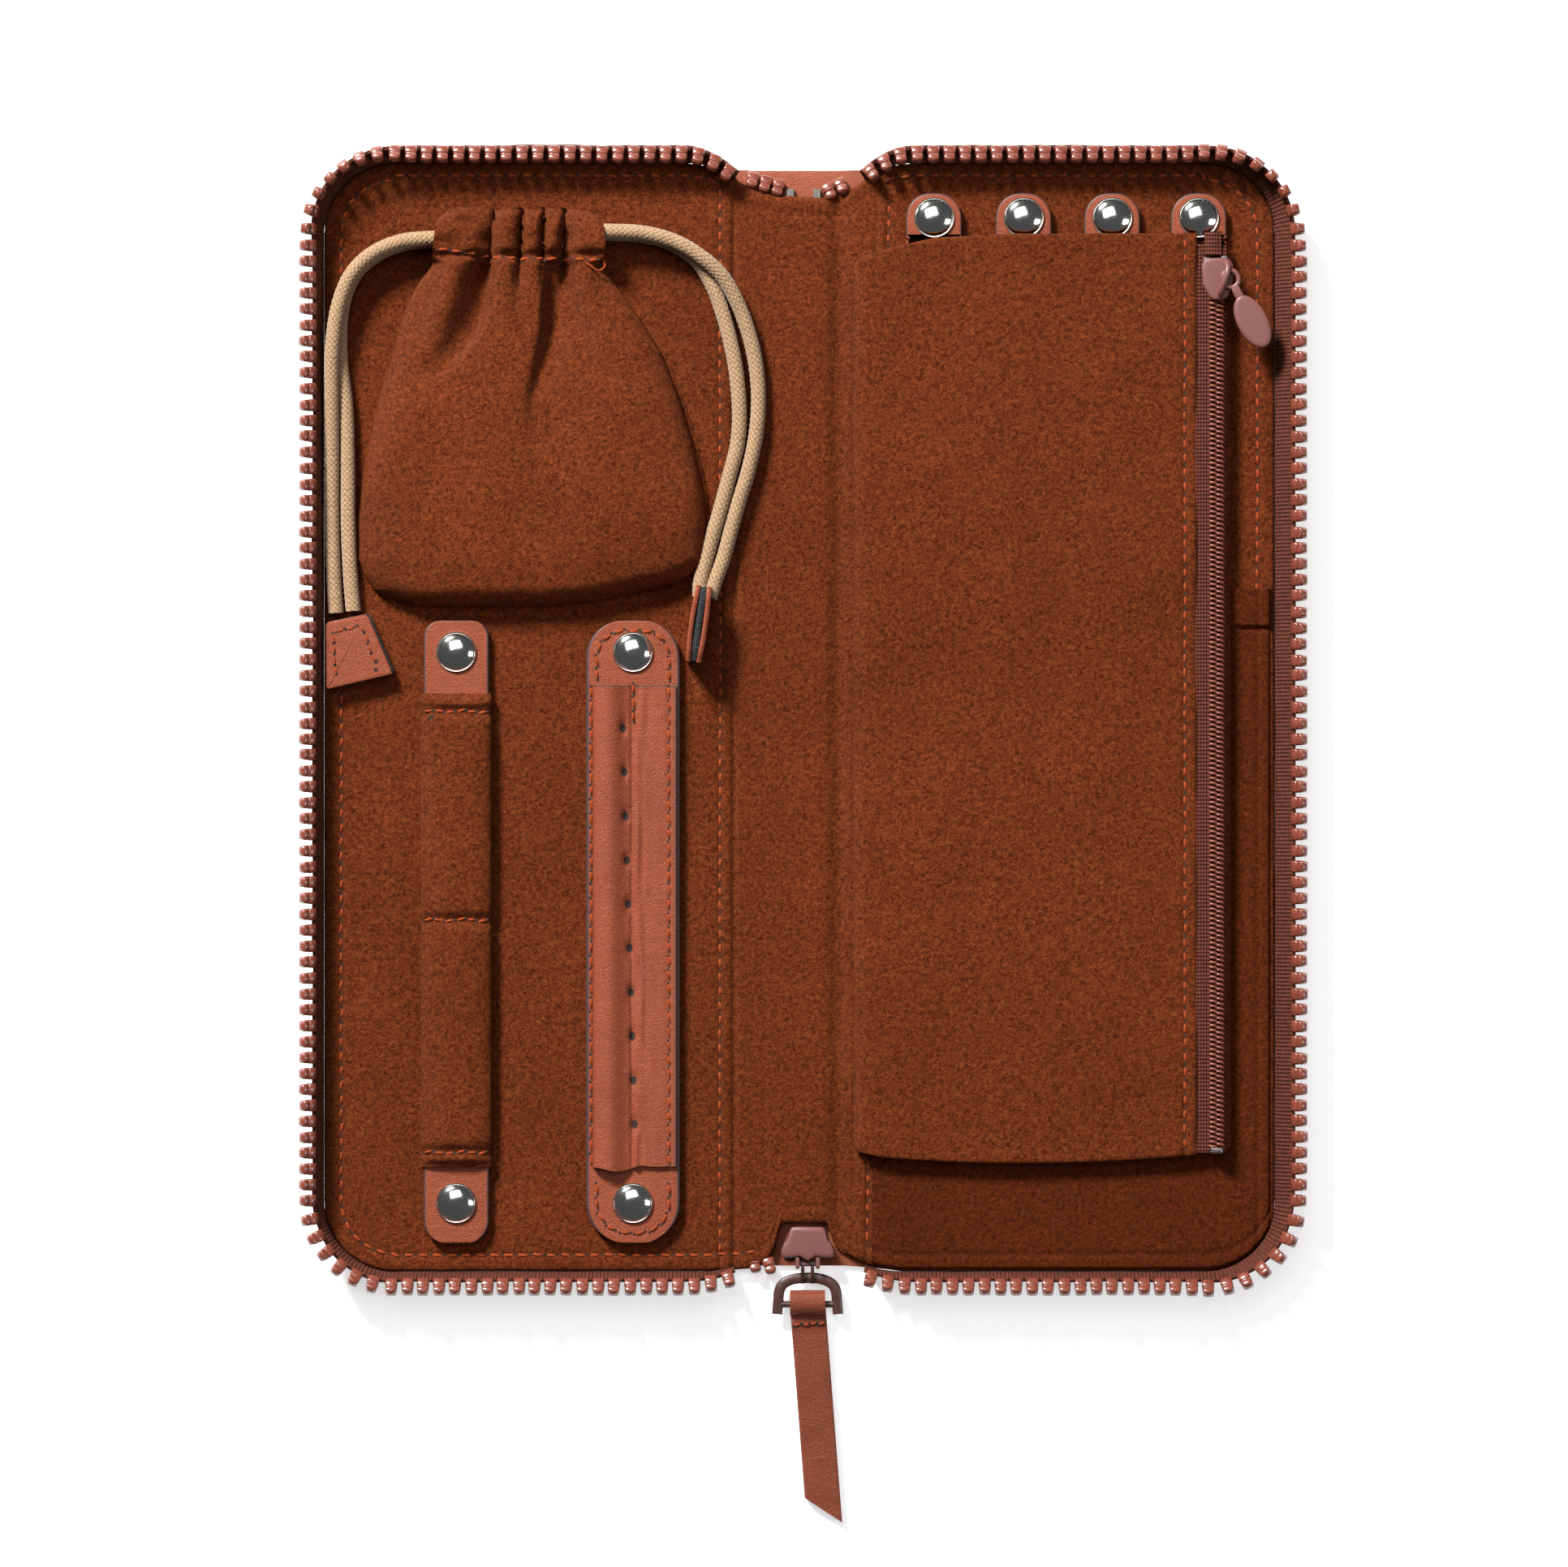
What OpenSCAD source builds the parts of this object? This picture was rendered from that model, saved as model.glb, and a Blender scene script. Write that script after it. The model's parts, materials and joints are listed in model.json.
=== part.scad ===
// Zip-around travel organizer for jewellery and small accessories, lying open and flat.
// +Z is up, +Y points to the top of the open case, the left cover is on -X.
// The origin is the middle of the spine's underside.

/* [Case] */
// Height of each cover, along the spine
cover_h = 218; // [214:1:224]
// Distance from the spine's centre line to a cover's outer edge
cover_reach = 93.5; // [93:0.5:98]
// Radius of the outer corners
corner_r = 14; // [9:1:15]
// Distance from the centre line to each fold
fold_x = 9.5; // [9:0.5:10.5]
// Thickness of the outer leather
leather_t = 0.9; // [0.7:0.1:0.9]
// Thickness of the stiffener board
board_t = 1.0; // [0.8:0.1:1.0]
// Thickness of the foam under the lining
foam_t = 0.6; // [0.4:0.1:0.6]
// Thickness of the suede lining
lining_t = 0.7; // [0.5:0.1:0.7]

/* [Main zip] */
// Distance between neighbouring teeth
tooth_pitch = 3.1; // [2.8:0.1:3.6]
// Width of a tooth along the chain
tooth_w = 2.4; // [1.8:0.1:2.4]
// Thickness of the woven tape
tape_t = 0.7; // [0.5:0.1:0.8]
// Angles of the tape's four strips and of the teeth from upright, along the top
lean_top = [60, 50, 20, -20, -65];
// The same along the left cover's side
lean_left = [0, 10, 20, 30, 50];
// The same along the right cover's side
lean_right = [20, 35, 50, 50, 35];
// The same along the bottom
lean_bottom = [0, 5, 15, 30, 50];

/* [Bars] */
// Width of the ring bar's strap
ring_strap_w = 12.8; // [11:0.1:13]
// Width of the earring bar's strap
earring_strap_w = 18.4; // [17.6:0.1:18.6]
// Number of holes in the earring bar
earring_holes = 10; // [6:1:10]
// Radius of a snap cap
cap_r = 4; // [3.4:0.1:4]

/* [Necklace tabs] */
// Width of a tab
tab_w = 10.9; // [9:0.1:11]

/* [Page pocket] */
// Travel of the page pocket's slider
page_travel = 160; // [100:10:160]

/* [Cords] */
// Diameter of a drawcord
cord_d = 3; // [2.4:0.1:3]

/* [Pull] */
// Length of the leather pull strap
pull_len = 39; // [28:1:40]

/* [Hidden] */
$fn = 40;

leather_brown = [0.60, 0.32, 0.22];
suede_rust = [0.52, 0.25, 0.12];
zip_brown = [0.56, 0.30, 0.23];
tape_brown = [0.44, 0.22, 0.17];
slider_mauve = [0.45, 0.29, 0.27];
dark_metal = [0.24, 0.14, 0.13];
nickel = [0.80, 0.80, 0.82];
cord_tan = [0.78, 0.64, 0.47];
board_grey = [0.55, 0.52, 0.48];
foam_cream = [0.86, 0.82, 0.74];
edge_dark = [0.16, 0.12, 0.12];

// Heights of the cover's layers
board_z = leather_t;
foam_z = board_z + board_t;
lining_z = foam_z + foam_t;
panel_z = lining_z + lining_t;
// Gaps that let a cover turn about its fold
cover_gap = 0.6;
spine_gap = 0.4;
spine_w = 2 * (fold_x - spine_gap);
cover_x0 = fold_x + cover_gap;
half_h = cover_h / 2;
// Inner corners: the edge dips towards the spine on these arcs
dip_top_r = 14;
dip_top_a = 40;
dip_bottom_r = 20;
dip_bottom_a = 20;
wall_end_x = 13;
dip_top_x = wall_end_x + dip_top_r * sin(dip_top_a);
dip_bottom_x = wall_end_x + dip_bottom_r * sin(dip_bottom_a);

// ---------- general shapes ----------

function arc(cx, cy, r, a0, a1, n) =
  [for (i = [0:n]) let (a = a0 + (a1 - a0) * i / n) [cx + r * cos(a), cy + r * sin(a)]];

// Outline of the right-hand cover, drawn in by an inset
function cover_outline(inset = 0) = let (
    top = half_h - inset,
    rc = corner_r - inset,
    xc = cover_reach - corner_r,
    r1 = dip_top_r - inset,
    r2 = dip_bottom_r - inset,
    run = wall_end_x - cover_x0 - inset
  ) concat(
    arc(dip_top_x, half_h - dip_top_r, r1, 90 + dip_top_a, 90, 8),
    arc(xc, half_h - corner_r, rc, 90, 0, 12),
    arc(xc, corner_r - half_h, rc, 0, -90, 12),
    arc(dip_bottom_x, dip_bottom_r - half_h, r2, -90, -90 - dip_bottom_a, 5),
    [[cover_x0 + inset, -half_h + dip_bottom_r - r2 * cos(dip_bottom_a) + run * tan(dip_bottom_a)],
     [cover_x0 + inset, half_h - dip_top_r + r1 * cos(dip_top_a) - run * tan(dip_top_a)]]
  );

module cover_layer(side, z, t, inset) {
  mirror([side < 0 ? 1 : 0, 0, 0])
    translate([0, 0, z])
      linear_extrude(t)
        polygon(cover_outline(inset));
}

// A closed skin over rings of points; every ring is flat and convex
module tube_skin(rings) {
  n = len(rings[0]);
  m = len(rings);
  polyhedron(
    points = [for (r = rings) each r],
    faces = concat(
      [for (i = [0:m - 2], k = [0:n - 1]) each
        let (j = (k + 1) % n, a = i * n, b = a + n) [[a + k, a + j, b + k], [a + j, b + j, b + k]]],
      [[for (k = [n - 1:-1:0]) k]],
      [[for (k = [0:n - 1]) (m - 1) * n + k]]
    )
  );
}

// Strap outline: rounded at the +Y end and cut straight at the other
module strap_shape(w, y0, y1, r) {
  intersection() {
    hull()
      for (s = [-1, 1]) {
        translate([s * (w / 2 - r), y1 - r]) circle(r);
        translate([s * (w / 2 - r), y0]) circle(r);
      }
    translate([-w / 2, y0]) square([w, y1 - y0]);
  }
}

// ---------- snap fasteners ----------

stud_base_t = 0.3;
stud_post_t = 0.22;
stud_post_r = 1.0;
socket_z = panel_z + 0.35;
strap_z = panel_z + 0.7;
strap_t = 1.4;
cap_t = 1.6;

module snap_stud(x, y) {
  translate([x, y, panel_z]) {
    cylinder(r = 3.2, h = stud_base_t);
    translate([0, 0, stud_base_t]) cylinder(r = stud_post_r, h = stud_post_t);
  }
}

module snap_socket(x, y) {
  translate([x, y, socket_z])
    difference() {
      cylinder(r = 3, h = strap_z - socket_z);
      translate([0, 0, -0.1]) cylinder(r = stud_post_r + 0.3, h = 0.35);
    }
}

module snap_cap(x, y, z) {
  dome_r = (cap_r * cap_r + cap_t * cap_t) / (2 * cap_t);
  translate([x, y, z])
    rotate_extrude()
      polygon(concat(
        [[0, 0], [cap_r - 0.3, 0], [cap_r, 0.3]],
        [for (i = [1:8])
          let (x = cap_r * cos(i * 90 / 8)) [x, max(0.3, cap_t - dome_r + sqrt(dome_r * dome_r - x * x))]]
      ));
}

// ---------- main zip ----------

// The chain's path along the right-hand cover's edge: a point and the outward direction
corner_len = corner_r * PI / 2;
top_dip_len = dip_top_r * dip_top_a * PI / 180;
bottom_dip_len = dip_bottom_r * dip_bottom_a * PI / 180;
top_len = cover_reach - corner_r - dip_top_x;
bottom_len = cover_reach - corner_r - dip_bottom_x;
side_len = cover_h - 2 * corner_r;
s_top = top_dip_len;
s_corner1 = s_top + top_len;
s_side = s_corner1 + corner_len;
s_corner2 = s_side + side_len;
s_bottom = s_corner2 + corner_len;
s_dip = s_bottom + bottom_len;
chain_len = s_dip + bottom_dip_len;

function on_arc(cx, cy, r, a) = [cx + r * cos(a), cy + r * sin(a), a];

function station(s) =
  s < s_top ? on_arc(dip_top_x, half_h - dip_top_r, dip_top_r, 90 + dip_top_a * (1 - s / s_top)) :
  s < s_corner1 ? [dip_top_x + s - s_top, half_h, 90] :
  s < s_side ? on_arc(cover_reach - corner_r, half_h - corner_r, corner_r,
                      90 * (1 - (s - s_corner1) / corner_len)) :
  s < s_corner2 ? [cover_reach, half_h - corner_r - (s - s_side), 0] :
  s < s_bottom ? on_arc(cover_reach - corner_r, corner_r - half_h, corner_r,
                        -90 * (s - s_corner2) / corner_len) :
  s < s_dip ? [cover_reach - corner_r - (s - s_bottom), -half_h, -90] :
  on_arc(dip_bottom_x, dip_bottom_r - half_h, dip_bottom_r,
         -90 - dip_bottom_a * (s - s_dip) / bottom_dip_len);

function ease(t) = let (c = min(1, max(0, t))) c * c * (3 - 2 * c);

// How the tape leans at a place on the path
lean_run = 8;
function lean_at(s, side_lean) =
  let (
    a = ease((s - s_corner1 + lean_run) / (corner_len + 2 * lean_run)),
    b = ease((s - s_corner2 + lean_run) / (corner_len + 2 * lean_run))
  )
  s < (s_side + s_corner2) / 2 ?
    lean_top * (1 - a) + side_lean * a :
    side_lean * (1 - b) + lean_bottom * b;

// The tape rises straight from the cover's edge, then follows its leaning strips
tape_z0 = 1.0;
tape_straight = panel_z + 0.2 - tape_z0;
strip = 1.3;
end_strip = 0.6;
end_run = 10;
function strip_at(s) = end_strip + (strip - end_strip) * ease(min(s, chain_len - s) / end_run);
function tape_profile(lean, s) = [
  for (
    k = 0, w = strip_at(s), p = [tape_t / 2 + 0.05, tape_z0];
    k <= 5;
    step = k == 0 ? [0, tape_straight] : w * [sin(lean[k - 1]), cos(lean[k - 1])],
    p = p + step,
    k = k + 1
  ) p
];

function face_angle(lean, k) =
  k <= 0 ? 0 : k == 1 ? lean[0] / 2 : k == 5 ? lean[3] : (lean[k - 2] + lean[k - 1]) / 2;

// One cross-section of the tape: outer points, then inner points
function tape_ring(s, side_lean) =
  let (
    p = station(s),
    lean = lean_at(s, side_lean),
    prof = tape_profile(lean, s)
  )
  [for (f = [1, -1], k = [0:5])
    let (
      a = face_angle(lean, k),
      n = prof[k][0] + f * tape_t / 2 * cos(a),
      z = prof[k][1] - f * tape_t / 2 * sin(a)
    )
    [p[0] + n * cos(p[2]), p[1] + n * sin(p[2]), z]];

function spread(a, b, n) = [for (i = [0:n - 1]) a + (b - a) * i / n];
tape_stops = concat(
  spread(0, s_top, 4), spread(s_top, s_corner1 - lean_run, 3), spread(s_corner1 - lean_run, s_corner1, 2),
  spread(s_corner1, s_side, 9), spread(s_side, s_side + lean_run, 2),
  spread(s_side + lean_run, s_corner2 - lean_run, 6), spread(s_corner2 - lean_run, s_corner2, 2),
  spread(s_corner2, s_bottom, 9), spread(s_bottom, s_bottom + lean_run, 2),
  spread(s_bottom + lean_run, s_dip, 3), spread(s_dip, chain_len, 3), [chain_len]
);

module zip_tape(side, side_lean) {
  rings = [for (s = tape_stops) tape_ring(s, side_lean)];
  m = len(rings);
  mirror([side < 0 ? 1 : 0, 0, 0])
    polyhedron(
      points = [for (r = rings) each r],
      faces = concat(
        [for (i = [0:m - 2], k = [0:4]) each let (o = i * 12, q = o + 12)
          [[o + k, q + k, o + k + 1], [o + k + 1, q + k, q + k + 1],
           [o + 6 + k, o + 7 + k, q + 6 + k], [o + 7 + k, q + 7 + k, q + 6 + k]]],
        [for (i = [0:m - 2]) each let (o = i * 12, q = o + 12)
          [[o, o + 6, q], [o + 6, q + 6, q], [o + 5, q + 5, o + 11], [o + 11, q + 5, q + 11]]],
        [for (k = [0:4]) each [[k, k + 1, k + 6], [k + 1, k + 7, k + 6]]],
        [for (k = [0:4]) each let (o = (m - 1) * 12 + k) [[o, o + 6, o + 1], [o + 1, o + 6, o + 7]]]
      )
    );
}

// A moulded tooth: a square body, a waist and a round head
tooth_len = 3.0;
module tooth() {
  w = tooth_w / 2;
  translate([-tooth_w / 2, 0, 0])
    rotate([90, 0, 90])
      linear_extrude(tooth_w)
        polygon([
          [-w, 0.05], [w, 0.05], [w, 1.4], [w * 0.75, 1.65], [w * 0.88, 2.05], [w * 0.75, 2.7],
          [w * 0.35, tooth_len], [-w * 0.35, tooth_len], [-w * 0.75, 2.7], [-w * 0.88, 2.05],
          [-w * 0.75, 1.65], [-w, 1.4]
        ]);
}

module zip_teeth(side, side_lean) {
  count = floor(chain_len / tooth_pitch);
  mirror([side < 0 ? 1 : 0, 0, 0])
    for (i = [0:count - 1]) {
      s = (i + 0.5) * chain_len / count;
      p = station(s);
      lean = lean_at(s, side_lean);
      tip = tape_profile(lean, s)[5];
      translate([p[0], p[1], 0])
        rotate([0, 0, p[2]])
          translate([tip[0], 0, tip[1]])
            rotate([0, lean[4], 0])
              translate([0, 0, 0.35]) tooth();
    }
}

// ---------- spine ----------

spine_top = half_h - 1;
spine_lining_top = 101.5;
spine_lining_bottom = -99.5;
spine_lining_z = 3.0;

module spine_leather() {
  color(leather_brown)
    translate([-spine_w / 2, -spine_top, 0]) cube([spine_w, 2 * spine_top, leather_t]);
}

module spine_board() {
  color(board_grey)
    translate([1 - spine_w / 2, spine_lining_bottom + 1, leather_t])
      cube([spine_w - 2, spine_lining_top - spine_lining_bottom - 2, board_t]);
}

module spine_lining() {
  z0 = leather_t + board_t;
  color(suede_rust)
    translate([-spine_w / 2, spine_lining_bottom, z0])
      cube([spine_w, spine_lining_top - spine_lining_bottom, spine_lining_z - z0]);
}

// Teeth of the chain ends that lie flat on the spine's leather: position and turn
chain_end_z = leather_t + 1.1;
chain_ends = [[-7.2, 105, -14], [-4.2, 104.2, -14], [6.2, 103.7, 23], [-6.4, -107.6, 16]];

module spine_zip_ends() {
  color(zip_brown)
    for (e = chain_ends)
      translate([e[0], e[1], chain_end_z])
        rotate([0, 0, e[2]])
          cube([tooth_w, 2.6, 2.1], center = true);
}

module zip_end_stops() {
  color(dark_metal)
    for (x = [-1.8, 3.4])
      translate([x, spine_lining_top + 1.6, leather_t + 0.6]) cube([1.4, 1.8, 1.2], center = true);
}

// ---------- bars on the left cover ----------

ring_x = -67.4;
earring_x = -32.7;
bar_top_y = 19;
bar_low_y = -103.4;
bar_cap_y = 12.8;
bar_low_cap_y = -95.4;
bar_hinge_y = -90.6;
hinge_gap = 0.15;
strap_top = strap_z + strap_t;
// Corner radii of each bar's upper and lower end
ring_end_r = [3.4, 4.6];
earring_end_r = [7.4, 8.1];

module bar_snap_studs() {
  color(nickel)
    for (x = [ring_x, earring_x])
      for (y = [bar_cap_y, bar_low_cap_y])
        snap_stud(x, y);
}

module bar_anchor(x, w, r) {
  color(leather_brown)
    translate([x, 0, strap_z])
      linear_extrude(strap_t)
        mirror([0, 1])
          strap_shape(w, hinge_gap - bar_hinge_y, -bar_low_y, r);
}

module ring_bar_anchor() { bar_anchor(ring_x, ring_strap_w, ring_end_r[1]); }

module earring_bar_anchor() { bar_anchor(earring_x, earring_strap_w, earring_end_r[1]); }

module anchor_snaps() {
  color(nickel)
    for (x = [ring_x, earring_x]) {
      snap_socket(x, bar_low_cap_y);
      snap_cap(x, bar_low_cap_y, strap_top);
    }
}

module bar_strap(x, w, r) {
  color(leather_brown)
    translate([x, 0, strap_z])
      linear_extrude(strap_t)
        strap_shape(w, bar_hinge_y + hinge_gap, bar_top_y, r);
}

module ring_bar_strap() { bar_strap(ring_x, ring_strap_w, ring_end_r[0]); }

ring_cover_y0 = -88.2;
ring_cover_y1 = 4.6;

// A half-round section over the strap
module half_round(w, z0, z1, top) {
  polygon(concat([[w / 2, z0], [w / 2, z1]], arc_flat(w / 2, z1, top), [[-w / 2, z1], [-w / 2, z0]]));
}
function arc_flat(a, z, top) = [for (i = [1:11]) [a * cos(i * 15), z + (top - z) * sin(i * 15)]];

module along_y(x, y0, y1) {
  translate([x, y1, 0])
    rotate([90, 0, 0])
      linear_extrude(y1 - y0)
        children();
}

module ring_bar_core() {
  color(foam_cream)
    along_y(ring_x, ring_cover_y0 + 0.6, ring_cover_y1 - 0.6)
      half_round(ring_strap_w - 0.2, strap_top, strap_top + 0.01, strap_top + 2.3);
}

module ring_bar_cover() {
  color(suede_rust)
    along_y(ring_x, ring_cover_y0, ring_cover_y1)
      difference() {
        half_round(ring_strap_w + 1.2, panel_z + 0.2, strap_top, strap_top + 2.9);
        half_round(ring_strap_w + 0.1, strap_z - 0.05, strap_top, strap_top + 2.35);
      }
}

module bar_snap(x) {
  color(nickel) {
    snap_socket(x, bar_cap_y);
    snap_cap(x, bar_cap_y, strap_top);
  }
}

module ring_bar_snap() { bar_snap(ring_x); }

module earring_bar_strap() { bar_strap(earring_x, earring_strap_w, earring_end_r[0]); }

// Leather flap with a rolled fold along its left side
flap_y0 = -88.2;
flap_y1 = 6.2;
flap_left = -7.9;
roll_mid = -4.7;
roll_end = -0.3;
flap_right = 8.5;
flap_t = 0.9;
roll_rise = 1.8;
function flap_profile() = concat(
  [[flap_right, strap_top], [flap_right, strap_top + flap_t]],
  [for (i = [0:8])
    let (x = roll_end + (roll_mid - roll_end) * i / 8)
    [x, strap_top + flap_t + roll_rise * (1 - cos(i * 180 / 8)) / 2]],
  [for (i = [1:6])
    let (a = i * 15)
    [roll_mid + (flap_left - roll_mid) * sin(a), strap_top + (flap_t + roll_rise) * cos(a)]]
);

module earring_bar_flap() {
  hole_gap = 8.64;
  color(leather_brown)
    difference() {
      along_y(earring_x, flap_y0, flap_y1)
        polygon(flap_profile());
      for (i = [0:earring_holes - 1])
        translate([earring_x - 1.9 + 0.25 * i, -2.2 - hole_gap * i, strap_top - 0.1])
          cylinder(r = 0.7, h = 4);
    }
}

module earring_bar_snap() { bar_snap(earring_x); }

// ---------- drawstring pouch ----------

pouch_z0 = panel_z + 0.3;
pouch_outline = [
  [-71.5, 88.6], [-74.9, 85.2], [-77.6, 79.6], [-80.5, 69.4], [-82.9, 61.4], [-85.2, 49.4], [-86.4, 39],
  [-86.4, 31], [-85, 26.6], [-80, 22.6], [-48, 22.3], [-34, 23.6], [-26, 25.2], [-22.6, 26.8],
  [-20.6, 31.6], [-19.6, 37.4], [-19.6, 43.8], [-21, 53.4], [-23.9, 63], [-27.4, 71.8], [-31.4, 78.2],
  [-35.4, 83.8], [-38.9, 88.6]
];
pouch_mid = [-52.2, 56];
pouch_rise = 7.4;

module pouch_body() {
  color(suede_rust)
    hull() {
      translate([0, 0, pouch_z0]) linear_extrude(1.6) polygon(pouch_outline);
      for (k = [[0.93, 0.55], [0.8, 0.88], [0.6, 1]])
        translate([pouch_mid[0], pouch_mid[1], pouch_z0 + pouch_rise * k[1]])
          linear_extrude(0.2)
            polygon([for (p = pouch_outline) k[0] * (p - pouch_mid)]);
    }
}

// Gathered mouth: a ruffled strip above the drawcord's channel
collar_x0 = -71.4;
collar_x1 = -38.2;
collar_y0 = 88.9;
collar_y1 = 99.2;
module pouch_collar() {
  ruffles = 7;
  n = 56;
  pts = [for (i = [0:n]) let (t = i / n)
    [collar_x0 + (collar_x1 - collar_x0) * t,
     pouch_z0 + 4.6 + 1.3 * sin(ruffles * 360 * t) * sin(180 * t) + 1.6 * sin(180 * t)]];
  color(suede_rust)
    translate([0, collar_y1, 0])
      rotate([90, 0, 0])
        linear_extrude(collar_y1 - collar_y0)
          polygon(concat([[collar_x0, pouch_z0]], pts, [[collar_x1, pouch_z0]]));
}

// Drawcord routes: points that each cord's middle passes through
cord_sides = 8;
route_left_outer = [
  [-72.4, 93.8, 8], [-78, 93.2, 8], [-83.4, 91, 8], [-87.8, 86.8, 8], [-90.4, 80.4, 7.8], [-91.6, 72, 7.4],
  [-91.8, 62, 6.4], [-91.8, 50, 5.4], [-91.8, 38, 4.8], [-91.5, 28, 4.8], [-91, 20.4, 4.8]
];
route_left_inner = [
  [-72.4, 93, 4.9], [-78, 92.2, 4.9], [-83, 89.8, 4.8], [-87, 85.6, 4.8], [-89.1, 79.4, 4.8], [-89.7, 71, 4.8],
  [-89.1, 61, 4.8], [-88.7, 50, 4.8], [-88.6, 38, 4.8], [-88.2, 28, 4.8], [-87.6, 20.8, 4.8]
];
route_right_outer = [
  [-37, 95.2, 8], [-31, 94.9, 8], [-25, 93.4, 8], [-19.6, 90.4, 7.7], [-15, 86.2, 6.8], [-11.6, 80, 5.7],
  [-9.2, 72.6, 5], [-8.1, 64.6, 4.8], [-8.4, 56.6, 4.8], [-10, 48.6, 4.8], [-12, 42, 4.8],
  [-13.6, 36.2, 4.8], [-15, 31, 4.8], [-15.9, 27.4, 4.8]
];
route_right_inner = [
  [-37, 94.4, 4.9], [-31, 94, 4.9], [-25.4, 92.2, 4.8], [-20.6, 89, 4.8], [-17.2, 84, 4.8], [-14.4, 76.6, 4.8],
  [-12.5, 68.4, 4.8], [-11.8, 60, 4.8], [-12.2, 53.6, 4.8], [-13.7, 47.6, 4.8], [-15.3, 41.6, 4.8],
  [-16.8, 36.4, 4.8], [-18.2, 31.4, 4.8], [-19.2, 28, 4.8]
];

function unit(v) = v / norm(v);
function heading(r, i) = unit(r[min(i + 1, len(r) - 1)] - r[max(i - 1, 0)]);
// A smooth curve through the route's points, two rings a span
function smooth_route(r) = [
  for (i = [0:len(r) - 2], t = [0, 0.5])
    let (
      a = r[i],
      b = r[i + 1],
      p = r[max(i - 1, 0)],
      q = r[min(i + 2, len(r) - 1)]
    )
    t == 0 ? a : (9 * (a + b) - p - q) / 16,
  r[len(r) - 1]
];

module cord(route) {
  r = smooth_route(route);
  color(cord_tan)
    tube_skin([
      for (i = [0:len(r) - 1])
        let (
          d = heading(r, i),
          u = unit(cross([0, 0, 1], d)),
          v = cross(d, u)
        )
        [for (k = [0:cord_sides - 1])
          let (a = k * 360 / cord_sides + 22.5) r[i] + cord_d / 2 * (cos(a) * u + sin(a) * v)]
    ]);
}

module cord_left_outer() { cord(route_left_outer); }

module cord_left_inner() { cord(route_left_inner); }

module cord_right_outer() { cord(route_right_outer); }

module cord_right_inner() { cord(route_right_inner); }

// Folded leather tabs on the cords' ends, round a felt core
end_core_t = 1.2;
end_left_outline = [[-93, 18.6], [-85, 20.2], [-79.8, 8.4], [-92.6, 5.4]];
end_z0 = panel_z + 0.2;

module end_left_layer(z, t) {
  translate([0, 0, z]) linear_extrude(t) polygon(end_left_outline);
}

module cord_end_left() {
  color(leather_brown) {
    end_left_layer(end_z0, 0.9);
    end_left_layer(end_z0 + 0.9 + end_core_t, 0.9);
  }
}

// The right-hand tab stands on its edge
end_right_len = 15;
end_right_h = 8.6;
module end_right_layer(off, t) {
  translate([-18.7, 25.6, end_z0])
    rotate([0, 0, -98])
      translate([0, off, 0]) cube([end_right_len, t, end_right_h]);
}

module cord_end_right() {
  color(leather_brown) {
    end_right_layer(-0.9 - end_core_t / 2, 0.9);
    end_right_layer(end_core_t / 2, 0.9);
  }
}

module cord_end_cores() {
  color(edge_dark) {
    end_left_layer(end_z0 + 0.9, end_core_t);
    end_right_layer(-end_core_t / 2, end_core_t);
  }
}

// ---------- right cover ----------

slip_top = 25.4;
slip_hem_h = 8;
slip_x0 = 14;
slip_x1 = 92.4;
slip_t = 0.6;

module slip_pocket() {
  color(suede_rust)
    translate([0, 0, panel_z])
      linear_extrude(slip_t)
        intersection() {
          polygon(cover_outline(1.2));
          translate([slip_x0, -half_h]) square([slip_x1 - slip_x0, half_h + slip_top]);
        }
}

module slip_pocket_hem() {
  color(suede_rust)
    translate([slip_x0, slip_top - slip_hem_h, panel_z + slip_t])
      cube([slip_x1 - slip_x0 - 1, slip_hem_h, 0.6]);
}

// ---------- necklace tabs ----------

tab_x = [26.4, 44, 61.4, 78.4];
tab_hinge_y = 93.8;
tab_cap_y = 98.1;
tab_top_y = 102.9;
tab_base_len = 9;
tab_end_r = 4.8;
tab_t = 1.2;
base_t = 1.2;

module necklace_tab_bases() {
  color(leather_brown)
    for (x = tab_x)
      translate([x - tab_w / 2, tab_hinge_y - 0.2 - tab_base_len, panel_z])
        cube([tab_w, tab_base_len, base_t]);
}

module necklace_snap_studs() {
  color(nickel)
    for (x = tab_x)
      snap_stud(x, tab_cap_y);
}

module necklace_tab(i) {
  color(leather_brown)
    translate([tab_x[i], 0, strap_z])
      linear_extrude(tab_t)
        strap_shape(tab_w, tab_hinge_y + 0.2, tab_top_y, tab_end_r);
}

module necklace_snap(i) {
  color(nickel) {
    snap_socket(tab_x[i], tab_cap_y);
    snap_cap(tab_x[i], tab_cap_y, strap_z + tab_t);
  }
}

module necklace_tab_1() { necklace_tab(0); }

module necklace_tab_2() { necklace_tab(1); }

module necklace_tab_3() { necklace_tab(2); }

module necklace_tab_4() { necklace_tab(3); }

module necklace_snap_1() { necklace_snap(0); }

module necklace_snap_2() { necklace_snap(1); }

module necklace_snap_3() { necklace_snap(2); }

module necklace_snap_4() { necklace_snap(3); }

// ---------- page pocket ----------

page_z = 4.8;
page_t = 0.7;
page_x0 = 11.5;
page_x1 = 85.2;
zip_x = 81.6;
front_x1 = 78;
page_top_left = 88.6;
page_top = 91.8;
page_bottom_left = -81.5;
page_bottom = -86.4;
tape_z = page_z + 1.5;
page_tape_t = 0.4;
coil_w = 1.3;
coil_h = 1.4;
coil_gap = 0.9;

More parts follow.
